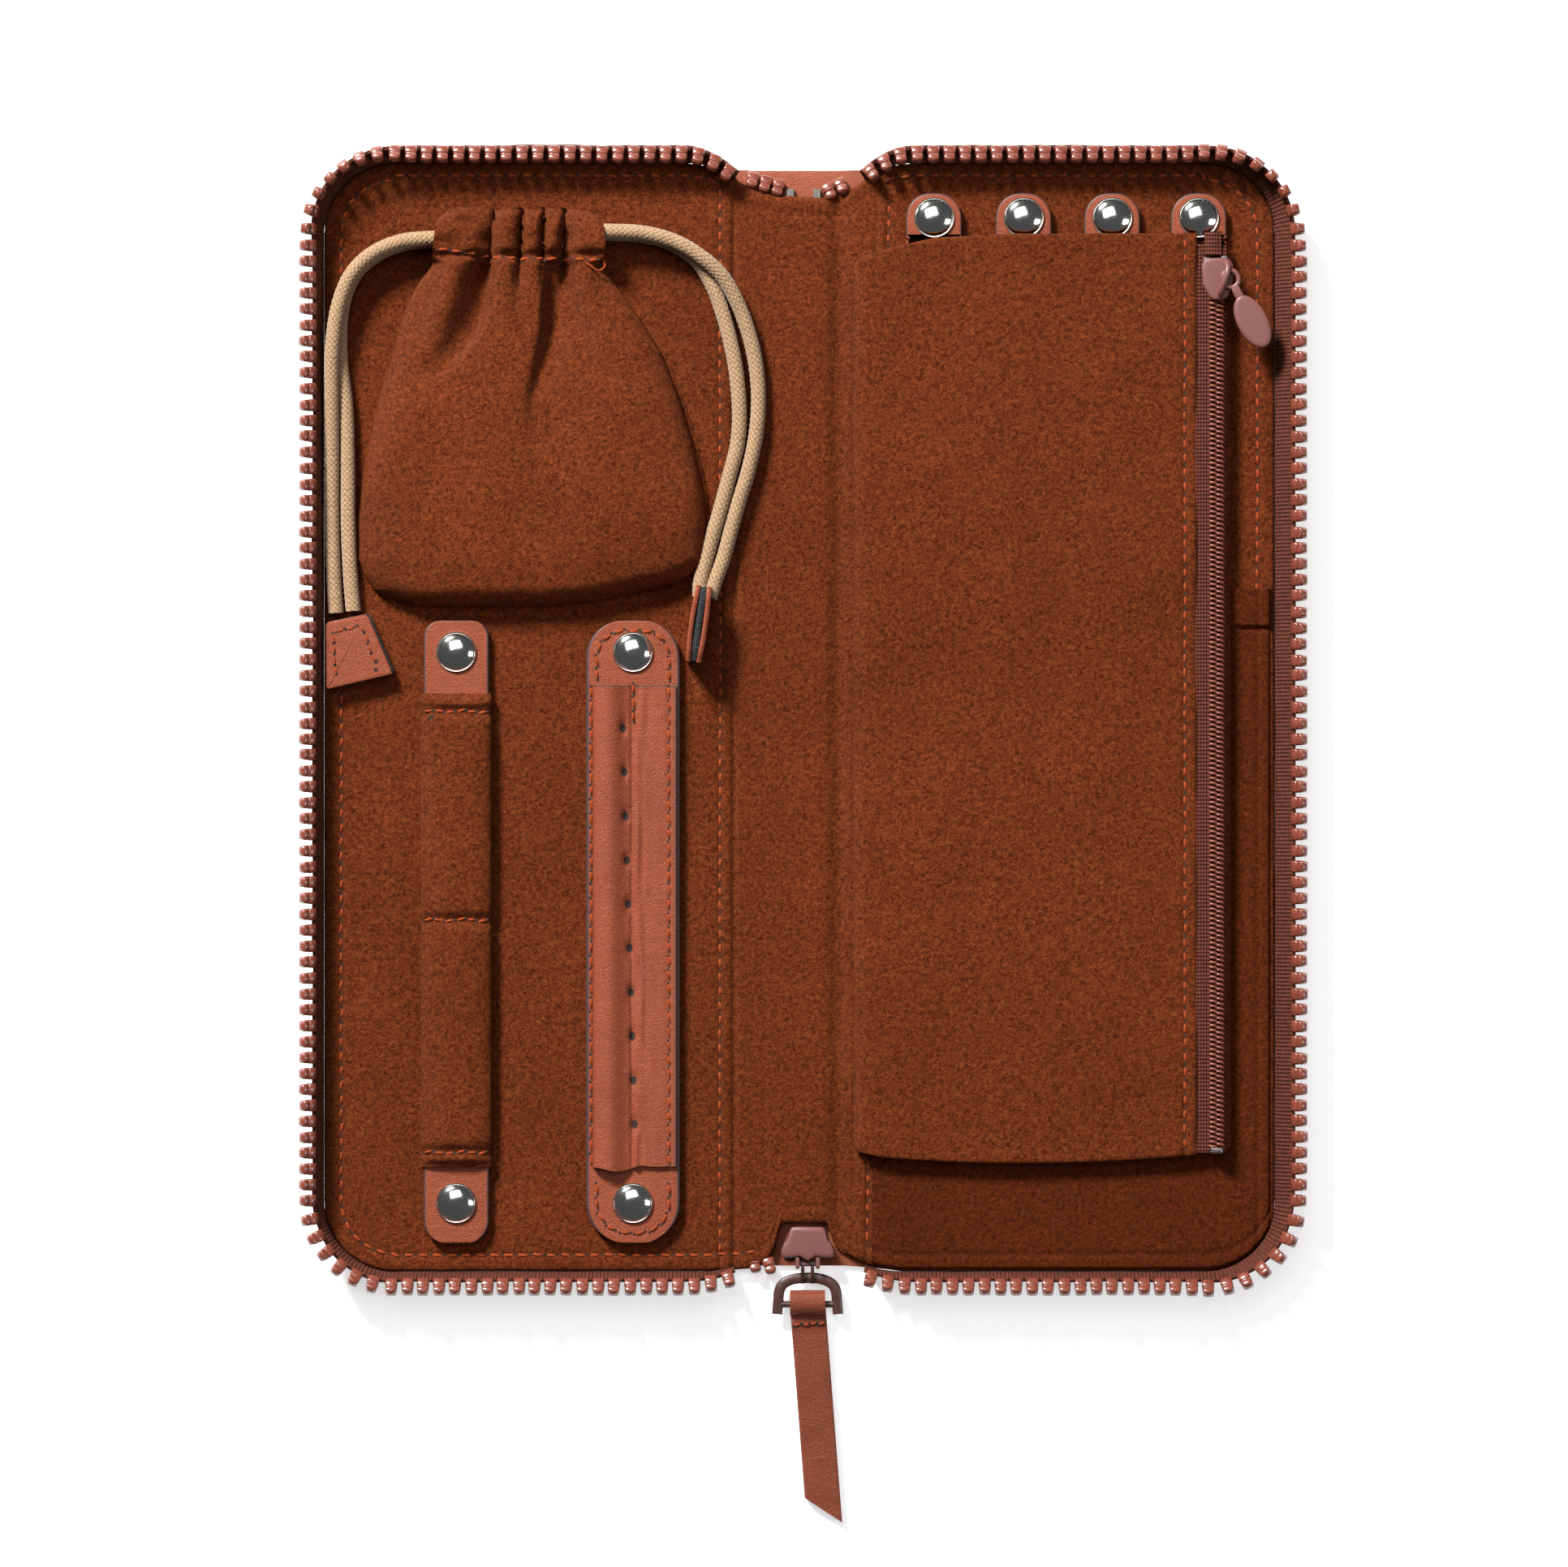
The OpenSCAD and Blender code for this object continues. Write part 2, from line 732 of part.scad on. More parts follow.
module page_sheet(x1) {
  polygon([
    [page_x0, page_top_left], [36, page_top_left + 2], [62, page_top], [x1, page_top],
    [x1, page_bottom + 0.8], [62, page_bottom], [38, page_bottom], [page_x0, page_bottom_left]
  ]);
}

// The zip's edge of the back sheet is a step lower than the tapes, for the slider's lower plate
module page_back() {
  color(suede_rust)
    translate([0, 0, page_z]) linear_extrude(page_t) page_sheet(page_x1);
}

module page_front() {
  color(suede_rust)
    translate([0, 0, page_z + page_t]) linear_extrude(tape_z + page_tape_t - page_z - page_t)
      difference() {
        page_sheet(front_x1);
        translate([page_x0 + 4, page_bottom + 8])
          square([front_x1 - page_x0 - 8, page_top_left - page_bottom - 14]);
      }
  color(suede_rust)
    translate([0, 0, tape_z + page_tape_t]) linear_extrude(0.5) page_sheet(front_x1);
}

module page_zip_tapes() {
  color(tape_brown)
    for (x = [[front_x1, zip_x - coil_gap / 2], [zip_x + coil_gap / 2, page_x1 - 0.2]])
      translate([x[0], page_bottom + 0.8, tape_z])
        cube([x[1] - x[0], page_top - page_bottom - 1, page_tape_t]);
}

module page_zip_coils() {
  color(zip_brown)
    for (x = [zip_x - coil_gap / 2 - coil_w, zip_x + coil_gap / 2])
      translate([x, page_bottom + 1.4, tape_z + page_tape_t])
        cube([coil_w, page_top - page_bottom - 3.4, coil_h]);
}

module page_zip_stops() {
  color(board_grey)
    for (s = [[zip_x - 2.1, page_top - 1.8], [zip_x + 0.5, page_top - 1.8], [zip_x + 0.5, page_bottom + 0.4]])
      translate([s[0], s[1], tape_z + page_tape_t]) cube([1.6, 1, 1.3]);
}

// Slider: a lower plate, a wedge between the coils, an upper plate and cheeks for the pull's pin
slider_y0 = 81.6;
slider_y1 = 89.6;
slider_w = 5.6;
slider_top_z = tape_z + page_tape_t + coil_h + 0.2;
pull_pin = [83.9, 86.6, 9.9];
pull_angle = atan2(-0.89, 0.455);
pull_eye_w = 1.6;

slider_low_t = 0.5;
slider_plate_t = 0.7;
eye_r = 0.8;
eye_hole_r = 0.5;
cheek_t = 0.6;

module page_slider_body() {
  mid = (slider_y0 + slider_y1) / 2;
  low_z = page_z + page_t + 0.15;
  cheek_z = slider_top_z + slider_plate_t - 0.1;
  color(slider_mauve) {
    translate([zip_x - slider_w / 2, slider_y0, low_z])
      cube([slider_w, slider_y1 - slider_y0, slider_low_t]);
    translate([zip_x - slider_w / 2, slider_y0, slider_top_z])
      linear_extrude(slider_plate_t)
        polygon([[0.9, 0], [slider_w - 0.9, 0], [slider_w, 2.6], [slider_w, 8], [0, 8], [0, 2.6]]);
    translate([zip_x - coil_gap / 3, mid - 1.5, low_z])
      cube([coil_gap * 2 / 3, 3, slider_top_z - low_z + 0.1]);
    translate([pull_pin[0], pull_pin[1], cheek_z])
      rotate([0, 0, pull_angle])
        for (s = [-1, 1])
          translate([-0.75, s * (pull_eye_w / 2 + 0.45) - cheek_t / 2, 0])
            cube([1.5, cheek_t, pull_pin[2] - cheek_z + 0.7]);
    translate(pull_pin)
      rotate([0, 0, pull_angle])
        rotate([90, 0, 0])
          cylinder(r = eye_hole_r - 0.1, h = pull_eye_w + 1.4, center = true);
  }
}

module page_slider_pull() {
  oval_mid = 10.4;
  oval_a = 5.5;
  oval_b = 3;
  oval_t = 1;
  color(slider_mauve)
    translate(pull_pin)
      rotate([0, 0, pull_angle])
        difference() {
          union() {
            rotate([90, 0, 0]) cylinder(r = eye_r, h = pull_eye_w, center = true);
            translate([0.2, -pull_eye_w / 2, -oval_t / 2]) cube([oval_mid - oval_a, pull_eye_w, oval_t]);
            translate([oval_mid, 0, -oval_t / 2])
              linear_extrude(oval_t)
                polygon([for (i = [0:35]) [oval_a * cos(i * 10), oval_b * sin(i * 10)]]);
          }
          rotate([90, 0, 0]) cylinder(r = eye_hole_r, h = pull_eye_w + 1, center = true);
        }
}

// ---------- main slider and its pull ----------

slider_x = 1.6;
main_y0 = -106.4;
main_y1 = -100.4;
main_bottom_z = leather_t + 0.1;
main_top_z = 4.3;
link_pin = [-107.5, 3.7];
frame_bar = [-110.4, 2.4];
frame_cross = [-115.5, 2.4];
ear_gap = 3.2;
link_w = 2.6;

// Seen from above: narrow where the chain leaves, wide with a point where the halves come in
module slider_plate() {
  polygon([
    [-3.2, main_y1], [3.2, main_y1], [3.8, main_y1 - 2.4], [5.2, main_y0 + 1.4], [5.2, main_y0],
    [1.6, main_y0 + 0.5], [0, main_y0 - 0.5], [-1.6, main_y0 + 0.5], [-5.2, main_y0], [-5.2, main_y0 + 1.4],
    [-3.8, main_y1 - 2.4]
  ]);
}

module x_bar(p, r, w) {
  translate([slider_x, p[0], p[1]])
    rotate([0, 90, 0])
      cylinder(r = r, h = w, center = true);
}

module main_slider_body() {
  color(slider_mauve) {
    translate([slider_x, 0, main_bottom_z]) linear_extrude(0.9) slider_plate();
    translate([slider_x, 0, main_top_z]) linear_extrude(1) slider_plate();
    translate([slider_x, (main_y0 + main_y1) / 2, main_bottom_z + 0.8])
      linear_extrude(main_top_z - main_bottom_z - 0.7)
        polygon([[0, 2.6], [1.3, 0], [0.5, -2.8], [-0.5, -2.8], [-1.3, 0]]);
    for (s = [-1, 1])
      translate([slider_x + s * (ear_gap / 2 + 0.4) - 0.4, link_pin[0] - 0.8, link_pin[1] - 0.9])
        cube([0.8, main_y0 - link_pin[0] + 1.8, 2.2]);
    x_bar(link_pin, 0.45, ear_gap + 1);
  }
}

module main_slider_link() {
  color(dark_metal)
    difference() {
      hull() {
        x_bar(link_pin, 1, link_w);
        x_bar(frame_bar, 1.3, link_w);
      }
      x_bar(link_pin, 0.55, link_w + 1);
      x_bar(frame_bar, 0.9, link_w + 1);
    }
}

// Cap-shaped frame: a round bar in the link, two shoulders with legs, and a round bar for the strap
frame_bar_r = 0.8;
frame_t = 1.8;
frame_inner = 1.5;
frame_side = [[6.2, -111.7], [6.8, -117.3], [5, -117.3], [4.6, -113.2]];
module main_pull_frame() {
  color(dark_metal) {
    x_bar(frame_bar, frame_bar_r, 2 * frame_inner + 1);
    x_bar(frame_cross, 0.7, 10.4);
    for (s = [-1, 1])
      translate([slider_x, 0, frame_bar[1] - frame_t / 2])
        linear_extrude(frame_t)
          polygon([
            [s * frame_inner, frame_bar[0] + frame_t / 2],
            for (p = frame_side) [s * p[0], p[1]],
            [s * frame_inner, frame_bar[0] - frame_t / 2]
          ]);
  }
}

strap_slant = 4.4;
pull_w = 7;
pull_t = 2.2;
loop_r = 2.1;
module main_pull_strap() {
  half = pull_w / 2;
  color(leather_brown)
    difference() {
      union() {
        x_bar(frame_cross, loop_r, pull_w);
        translate([slider_x, frame_cross[0], frame_cross[1] - loop_r])
          linear_extrude(pull_t)
            rotate(180 + strap_slant)
              polygon([[-half, 0], [half, 0], [half + 0.1, pull_len - 1], [-half - 0.3, pull_len + 4]]);
      }
      x_bar(frame_cross, 1, pull_w + 2);
    }
}

// ---------- cover layers and zips ----------

module left_shell() { color(leather_brown) cover_layer(-1, 0, leather_t, 0); }

module left_stiffener() { color(board_grey) cover_layer(-1, board_z, board_t, 2); }

module left_foam() { color(foam_cream) cover_layer(-1, foam_z, foam_t, 1.6); }

module left_lining() { color(suede_rust) cover_layer(-1, lining_z, lining_t, 0); }

module left_zip_tape() { color(tape_brown) zip_tape(-1, lean_left); }

module left_zip_teeth() { color(zip_brown) zip_teeth(-1, lean_left); }

module right_shell() { color(leather_brown) cover_layer(1, 0, leather_t, 0); }

module right_stiffener() { color(board_grey) cover_layer(1, board_z, board_t, 2); }

module right_foam() { color(foam_cream) cover_layer(1, foam_z, foam_t, 1.6); }

module right_lining() { color(suede_rust) cover_layer(1, lining_z, lining_t, 0); }

module right_zip_tape() { color(tape_brown) zip_tape(1, lean_right); }

module right_zip_teeth() { color(zip_brown) zip_teeth(1, lean_right); }

spine_leather();
spine_board();
spine_lining();
spine_zip_ends();
zip_end_stops();
left_shell();
left_stiffener();
left_foam();
left_lining();
left_zip_tape();
left_zip_teeth();
bar_snap_studs();
ring_bar_anchor();
earring_bar_anchor();
anchor_snaps();
ring_bar_strap();
ring_bar_core();
ring_bar_cover();
ring_bar_snap();
earring_bar_strap();
earring_bar_flap();
earring_bar_snap();
pouch_body();
pouch_collar();
cord_left_outer();
cord_left_inner();
cord_right_outer();
cord_right_inner();
cord_end_left();
cord_end_right();
cord_end_cores();
right_shell();
right_stiffener();
right_foam();
right_lining();
right_zip_tape();
right_zip_teeth();
slip_pocket();
slip_pocket_hem();
necklace_tab_bases();
necklace_snap_studs();
necklace_tab_1();
necklace_tab_2();
necklace_tab_3();
necklace_tab_4();
necklace_snap_1();
necklace_snap_2();
necklace_snap_3();
necklace_snap_4();
page_back();
page_front();
page_zip_tapes();
page_zip_coils();
page_zip_stops();
page_slider_body();
page_slider_pull();
main_slider_body();
main_slider_link();
main_pull_frame();
main_pull_strap();
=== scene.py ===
"""Looks of the open zip-around jewellery organizer, built round its CAD frame.

Lengths are in millimetres in this script and become metres when a mesh is made.
"""

import json
import math

import bpy
import numpy as np
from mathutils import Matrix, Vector

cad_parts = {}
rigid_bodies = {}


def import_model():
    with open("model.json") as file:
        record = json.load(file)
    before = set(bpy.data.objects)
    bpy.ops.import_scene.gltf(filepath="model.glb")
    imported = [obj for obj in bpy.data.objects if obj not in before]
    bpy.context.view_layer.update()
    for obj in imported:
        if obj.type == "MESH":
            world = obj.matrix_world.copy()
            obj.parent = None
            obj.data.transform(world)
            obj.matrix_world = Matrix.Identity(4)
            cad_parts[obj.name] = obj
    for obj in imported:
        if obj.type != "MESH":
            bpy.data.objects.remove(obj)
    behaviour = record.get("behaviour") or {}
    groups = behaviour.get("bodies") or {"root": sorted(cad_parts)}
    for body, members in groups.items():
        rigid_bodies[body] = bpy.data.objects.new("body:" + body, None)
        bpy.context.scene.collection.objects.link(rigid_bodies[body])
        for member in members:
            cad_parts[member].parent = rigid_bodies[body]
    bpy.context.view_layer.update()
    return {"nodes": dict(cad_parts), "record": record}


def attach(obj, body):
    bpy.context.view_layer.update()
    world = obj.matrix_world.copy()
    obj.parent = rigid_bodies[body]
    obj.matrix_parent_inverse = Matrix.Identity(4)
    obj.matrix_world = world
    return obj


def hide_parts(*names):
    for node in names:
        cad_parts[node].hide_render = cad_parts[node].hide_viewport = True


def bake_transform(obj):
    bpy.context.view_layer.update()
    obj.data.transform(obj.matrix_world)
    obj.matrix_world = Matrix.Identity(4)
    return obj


MM = 0.001
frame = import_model()

# ---------------------------------------------------------------- camera
VIEW_MID = (-3.04, -13.04)
VIEW_WIDTH = 309.0
CAMERA_HEIGHT = 1400.0
camera_data = bpy.data.cameras.new("camera")
camera_data.sensor_width = 36
camera_data.lens = 36 * CAMERA_HEIGHT / VIEW_WIDTH
camera_data.clip_end = 20
camera = bpy.data.objects.new("camera", camera_data)
camera.location = (VIEW_MID[0] * MM, VIEW_MID[1] * MM, CAMERA_HEIGHT * MM)
bpy.context.scene.collection.objects.link(camera)
bpy.context.scene.camera = camera
bpy.context.scene.view_settings.view_transform = "Standard"


# ---------------------------------------------------------------- materials
class Mat:
    """A procedural material under construction: its nodes, links and main shader."""

    def __init__(self, name, rough=0.5, metal=0.0):
        self.mat = bpy.data.materials.new(name)
        self.mat.use_nodes = True
        self.tree = self.mat.node_tree
        self.shader = self.tree.nodes["Principled BSDF"]
        self.shader.inputs["Roughness"].default_value = rough
        self.shader.inputs["Metallic"].default_value = metal
        self.coords = self.node("ShaderNodeTexCoord")

    def node(self, kind, **values):
        made = self.tree.nodes.new(kind)
        for key, value in values.items():
            setattr(made, key, value)
        return made

    def link(self, a, b):
        self.tree.links.new(a, b)

    def set(self, **values):
        for key, value in values.items():
            self.shader.inputs[key.replace("_", " ")].default_value = value
        return self

    def noise(self, scale, detail=3.0, rough=0.6, stretch=None, distort=0.0, source="Object"):
        out = self.coords.outputs[source]
        if stretch:
            mapping = self.node("ShaderNodeMapping")
            mapping.inputs["Scale"].default_value = stretch
            self.link(out, mapping.inputs["Vector"])
            out = mapping.outputs["Vector"]
        made = self.node("ShaderNodeTexNoise")
        made.inputs["Scale"].default_value = scale
        made.inputs["Detail"].default_value = detail
        made.inputs["Roughness"].default_value = rough
        made.inputs["Distortion"].default_value = distort
        self.link(out, made.inputs["Vector"])
        return made.outputs["Fac"]

    def cells(self, scale, feature="DISTANCE_TO_EDGE"):
        made = self.node("ShaderNodeTexVoronoi", feature=feature)
        made.inputs["Scale"].default_value = scale
        self.link(self.coords.outputs["Object"], made.inputs["Vector"])
        return made.outputs["Distance"]

    def stripes(self, scale, axis, source="UV"):
        made = self.node("ShaderNodeTexWave", bands_direction=axis)
        made.inputs["Scale"].default_value = scale
        self.link(self.coords.outputs[source], made.inputs["Vector"])
        return made.outputs["Fac"]

    def math(self, operation, a, b):
        made = self.node("ShaderNodeMath", operation=operation)
        for socket, value in zip(made.inputs, (a, b)):
            if isinstance(value, (int, float)):
                socket.default_value = value
            else:
                self.link(value, socket)
        return made.outputs[0]

    def ramp(self, fac, stops):
        made = self.node("ShaderNodeValToRGB")
        ramp = made.color_ramp
        while len(ramp.elements) < len(stops):
            ramp.elements.new(0.5)
        for element, (at, colour) in zip(ramp.elements, stops):
            element.position = at
            element.color = (*colour, 1)
        self.link(fac, made.inputs["Fac"])
        return made.outputs["Color"]

    def tint(self, colour, fac, low, high):
        """colour multiplied by a grey that goes from low to high with fac."""
        span = self.node("ShaderNodeMapRange")
        span.inputs["From Min"].default_value = 0.3
        span.inputs["From Max"].default_value = 0.7
        span.inputs["To Min"].default_value = low
        span.inputs["To Max"].default_value = high
        self.link(fac, span.inputs["Value"])
        mix = self.node("ShaderNodeVectorMath", operation="MULTIPLY")
        self.link(colour, mix.inputs[0])
        self.link(span.outputs[0], mix.inputs[1])
        return mix.outputs[0]

    def flat(self, colour):
        made = self.node("ShaderNodeRGB")
        made.outputs[0].default_value = (*colour, 1)
        return made.outputs[0]

    def paint(self, colour):
        self.link(colour, self.shader.inputs["Base Color"])
        return self

    def bump(self, height, depth, strength=1.0):
        """Bumps of a real depth in metres, on top of those already there."""
        made = self.node("ShaderNodeBump")
        made.inputs["Strength"].default_value = strength
        made.inputs["Distance"].default_value = depth
        self.link(height, made.inputs["Height"])
        old = self.shader.inputs["Normal"]
        if old.is_linked:
            self.link(old.links[0].from_socket, made.inputs["Normal"])
        self.link(made.outputs["Normal"], old)
        return self


def suede_material(name, dark, light):
    m = Mat(name, rough=0.95)
    m.set(Specular_IOR_Level=0.04, Sheen_Weight=0.05, Sheen_Roughness=0.4, Sheen_Tint=(1, 0.55, 0.35, 1))
    nap = m.noise(3300, 4, 0.8, stretch=(1.0, 0.6, 1.0), distort=1.0)
    clumps = m.noise(1350, 3, 0.6, distort=0.8)
    both = m.math("ADD", m.math("MULTIPLY", nap, 0.5), m.math("MULTIPLY", clumps, 0.5))
    colour = m.ramp(both, [(0.4, dark), (0.6, light)])
    colour = m.tint(colour, m.noise(60, 3, 0.5), 0.92, 1.08)
    colour = m.tint(colour, m.noise(14, 2, 0.5), 0.94, 1.06)
    m.paint(colour)
    m.bump(both, 0.0016)
    return m.mat


def leather_material(name, colour, rough=0.5, grain=1700, crease=0.25):
    m = Mat(name, rough=rough)
    m.set(Specular_IOR_Level=0.22)
    pores = m.cells(grain)
    fine = m.noise(2600, 3, 0.6)
    long = m.noise(420, 4, 0.6, stretch=(0.4, 1.3, 1.0), distort=1.6)
    lines = m.math("MINIMUM", m.math("ABSOLUTE", m.math("SUBTRACT", long, 0.5), 0), 0.05)
    base = m.tint(m.flat(colour), fine, 0.93, 1.06)
    base = m.tint(base, m.noise(90, 3, 0.5), 0.93, 1.06)
    m.paint(base)
    m.bump(m.math("MINIMUM", pores, 0.1), 0.0005)
    m.bump(fine, 0.0001)
    m.bump(lines, 0.003 * crease)
    return m.mat


def plain_material(name, colour, rough, metal=0.0, noise=(900, 0.94, 1.05), bump=0.00003, **extra):
    m = Mat(name, rough=rough, metal=metal)
    m.set(**extra)
    fac = m.noise(noise[0], 2, 0.5)
    m.paint(m.tint(m.flat(colour), fac, noise[1], noise[2]))
    if bump:
        m.bump(fac, bump)
    return m.mat


def woven_material(name, colour, across, along):
    """Tape: fine ribs in UV space, one unit a millimetre."""
    m = Mat(name, rough=0.85)
    m.set(Specular_IOR_Level=0.2)
    warp = m.stripes(across, "X")
    weft = m.stripes(along, "Y")
    cloth = m.math("MULTIPLY", warp, weft)
    base = m.tint(m.flat(colour), cloth, 0.45, 1.5)
    m.paint(m.tint(base, m.noise(900, 2, 0.5), 0.8, 1.2))
    m.bump(cloth, 0.0004)
    return m.mat


SUEDE = suede_material("suede_rust", (0.068, 0.0112, 0.0023), (0.258, 0.055, 0.0138))
SUEDE_WARM = suede_material("suede_pouch", (0.07, 0.0116, 0.0024), (0.27, 0.058, 0.0145))
SUEDE_DEEP = suede_material("suede_slip", (0.05, 0.0075, 0.0014), (0.16, 0.03, 0.006))
LEATHER = leather_material("leather_strap", (0.222, 0.048, 0.0195), rough=0.46)
LEATHER_OUTER = leather_material("leather_outer", (0.24, 0.06, 0.027), rough=0.55)
LEATHER_PULL = leather_material("leather_pull", (0.16, 0.036, 0.015), rough=0.55)
EDGE = plain_material("edge_paint", (0.05, 0.022, 0.02), 0.5)
THREAD = plain_material(
    "thread", (0.25, 0.042, 0.01), 0.8, noise=(2500, 0.7, 1.25), bump=0.00012, Specular_IOR_Level=0.1,
)
# painted shade: a near-black colour for holes and stitch dips, standing in for the shade inside them
HOLE_SHADE = plain_material("needle_hole_shade", (0.018, 0.006, 0.004), 0.9, bump=0)
ZIP = plain_material(
    "zip_tooth", (0.155, 0.038, 0.022), 0.24, noise=(700, 0.82, 1.2), Coat_Weight=0.4, Coat_Roughness=0.1,
)
COIL = plain_material("coil_nylon", (0.16, 0.042, 0.024), 0.3, noise=(1500, 0.85, 1.15))
TAPE = woven_material("zip_tape", (0.15, 0.037, 0.02), 0.55, 0.42)
PAINT = plain_material("slider_paint", (0.15, 0.052, 0.043), 0.42, noise=(1800, 0.96, 1.03), bump=0.00002)
DARK = plain_material("dark_paint", (0.055, 0.022, 0.018), 0.35, noise=(900, 0.85, 1.15))
NICKEL = plain_material("nickel", (0.8, 0.79, 0.74), 0.12, metal=1.0, noise=(300, 0.98, 1.01), bump=0.000004)
STOP = plain_material("stop_metal", (0.2, 0.17, 0.165), 0.35, metal=0.8)
FELT = plain_material("felt", (0.014, 0.013, 0.014), 0.95, noise=(2500, 0.4, 2.2), bump=0.0005)
BOARD = plain_material("board", (0.30, 0.27, 0.23), 0.85)
FOAM = plain_material("foam", (0.72, 0.66, 0.54), 0.9)


def cotton_material():
    m = Mat("cord_cotton", rough=0.9)
    m.set(Specular_IOR_Level=0.1, Sheen_Weight=0.25, Sheen_Roughness=0.4)
    crown = m.node("ShaderNodeAttribute", attribute_name="crown")
    # painted shade: the ramp makes the cord dark where crown is low, standing in for the shade between the braid's
    # strands
    base = m.ramp(crown.outputs["Fac"], [(0.1, (0.13, 0.07, 0.034)), (0.62, (0.36, 0.23, 0.13))])
    m.paint(m.tint(base, m.noise(1800, 3, 0.6), 0.82, 1.16))
    m.bump(m.noise(3200, 3, 0.6), 0.00025)
    return m.mat


COTTON = cotton_material()
FLOOR = bpy.data.materials.new("floor")
FLOOR.use_nodes = True
for key, value in (
    ("Base Color", (0.93, 0.93, 0.93, 1)), ("Roughness", 0.9), ("Specular IOR Level", 0.1),
    ("Emission Color", (1, 1, 1, 1)), ("Emission Strength", 0.55),
):
    FLOOR.node_tree.nodes["Principled BSDF"].inputs[key].default_value = value


# ---------------------------------------------------------------- mesh helpers
def smooth_step(t):
    t = np.clip(t, 0, 1)
    return t * t * (3 - 2 * t)


def bell(d, width):
    return np.exp(-((d / width) ** 2))


def rounded(t):
    """A quarter circle's rise: 0 at t 0, level at 1 from t 1."""
    return np.sqrt(np.clip(1 - (1 - np.clip(t, 0, 1)) ** 2, 0, 1))


def around(count):
    """Angles once round, without the last one."""
    return np.linspace(0, 2 * math.pi, count, endpoint=False)


def at_point(height, x, y):
    """A height function's value at one point."""
    return float(height(np.array(x), np.array(y)))


def waves(x, y, length, seed, count=7):
    """Smooth seeded noise of about plus or minus 1, with waves of about that length."""
    rng = np.random.default_rng(seed)
    total = 0
    for _ in range(count):
        turn, phase = rng.uniform(0, 2 * math.pi, 2)
        rate = 2 * math.pi / length * rng.uniform(0.6, 1.5)
        total = total + np.sin(rate * (x * math.cos(turn) + y * math.sin(turn)) + phase)
    return total / math.sqrt(count)


def add_piece(name, verts, faces, mats, body=None, slot=None, replaces=(), ids=None, uvs=None, sharp=45):
    """A mesh piece from millimetre vertices; ids gives each face's material."""
    mats = mats if isinstance(mats, (list, tuple)) else [mats]
    mesh = bpy.data.meshes.new(name)
    mesh.from_pydata((np.asarray(verts, float) * MM).tolist(), [], [list(map(int, f)) for f in faces])
    for mat in mats:
        mesh.materials.append(mat)
    if ids is not None:
        mesh.polygons.foreach_set("material_index", np.asarray(ids, dtype=np.int32))
    if uvs is not None:
        layer = mesh.uv_layers.new(name="UVMap")
        loops = np.empty(len(mesh.loops), dtype=np.int32)
        mesh.loops.foreach_get("vertex_index", loops)
        layer.data.foreach_set("uv", np.asarray(uvs, float)[loops].ravel())
    mesh.validate()
    mesh.shade_smooth()
    mesh.set_sharp_from_angle(angle=math.radians(sharp))
    mesh.update()
    obj = bpy.data.objects.new(name, mesh)
    bpy.context.scene.collection.objects.link(obj)
    if body:
        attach(obj, body)
    if replaces:
        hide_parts(*replaces)
    return obj


def quads(index):
    return np.stack([index[:-1, :-1], index[1:, :-1], index[1:, 1:], index[:-1, 1:]], -1).reshape(-1, 4)


class Pieces:
    """Collects the vertices and faces of one piece that has many bits."""

    def __init__(self):
        self.verts, self.faces, self.ids, self.uvs, self.count = [], [], [], [], 0

    def add(self, verts, faces, mat=0, uvs=None):
        verts = np.asarray(verts, float)
        self.verts.append(verts)
        self.faces.extend([[int(i) + self.count for i in f] for f in faces])
        self.ids.extend(mat if hasattr(mat, "__len__") else [mat] * len(faces))
        self.uvs.append(np.zeros((len(verts), 2)) if uvs is None else np.asarray(uvs, float))
        self.count += len(verts)

    def make(self, name, mats, **options):
        return add_piece(
            name, np.concatenate(self.verts), self.faces, mats, ids=self.ids, uvs=np.concatenate(self.uvs), **options
        )


def slab_parts(x, y, top, low, edge_mat=0):
    """A closed sheet over a grid: x grows along the first axis and y along the second."""
    n, m = x.shape
    index = np.arange(n * m).reshape(n, m)
    ring = np.concatenate([index[:, 0], index[-1, 1:], index[-2::-1, -1], index[0, -2:0:-1]])
    after = np.roll(ring, -1)
    side = np.stack([ring + n * m, after + n * m, after, ring], -1)
    face = quads(index)
    verts = np.concatenate([np.stack([x, y, z], -1).reshape(-1, 3) for z in (top, low + 0 * x)])
    faces = np.concatenate([face, face[:, ::-1] + n * m, side])
    ids = [0] * (2 * len(face)) + [edge_mat] * len(side)
    uvs = np.concatenate([np.stack([x, y], -1).reshape(-1, 2)] * 2)
    return verts, faces, ids, uvs


def slab(name, x, y, top, low, mats, edge_mat=0, **options):
    verts, faces, ids, uvs = slab_parts(x, y, top, low, edge_mat)
    return add_piece(name, verts, faces, mats, ids=ids, uvs=uvs, **options)


def ring_parts(rings, cap=True):
    """A skin over closed rings of equal count, with flat caps."""
    rings = [np.asarray(r, float) for r in rings]
    n, m = len(rings[0]), len(rings)
    index = np.arange(n * m).reshape(m, n)
    index = np.concatenate([index, index[:, :1]], 1)
    faces = [list(f) for f in quads(index)[:, ::-1]]
    if cap:
        faces.append(list(range(n - 1, -1, -1)))
        faces.append(list(range((m - 1) * n, m * n)))
    return np.concatenate(rings), faces


def inset(outline, d):
    """The outline, counterclockwise, moved in by d."""
    p = np.asarray(outline, float)
    before, after = p - np.roll(p, 1, 0), np.roll(p, -1, 0) - p
    before /= np.linalg.norm(before, axis=1)[:, None]
    after /= np.linalg.norm(after, axis=1)[:, None]
    n1 = np.stack([-before[:, 1], before[:, 0]], -1)
    n2 = np.stack([-after[:, 1], after[:, 0]], -1)
    mid = n1 + n2
    mid /= np.maximum((mid * n1).sum(1), 0.35)[:, None]
    return p + mid * d


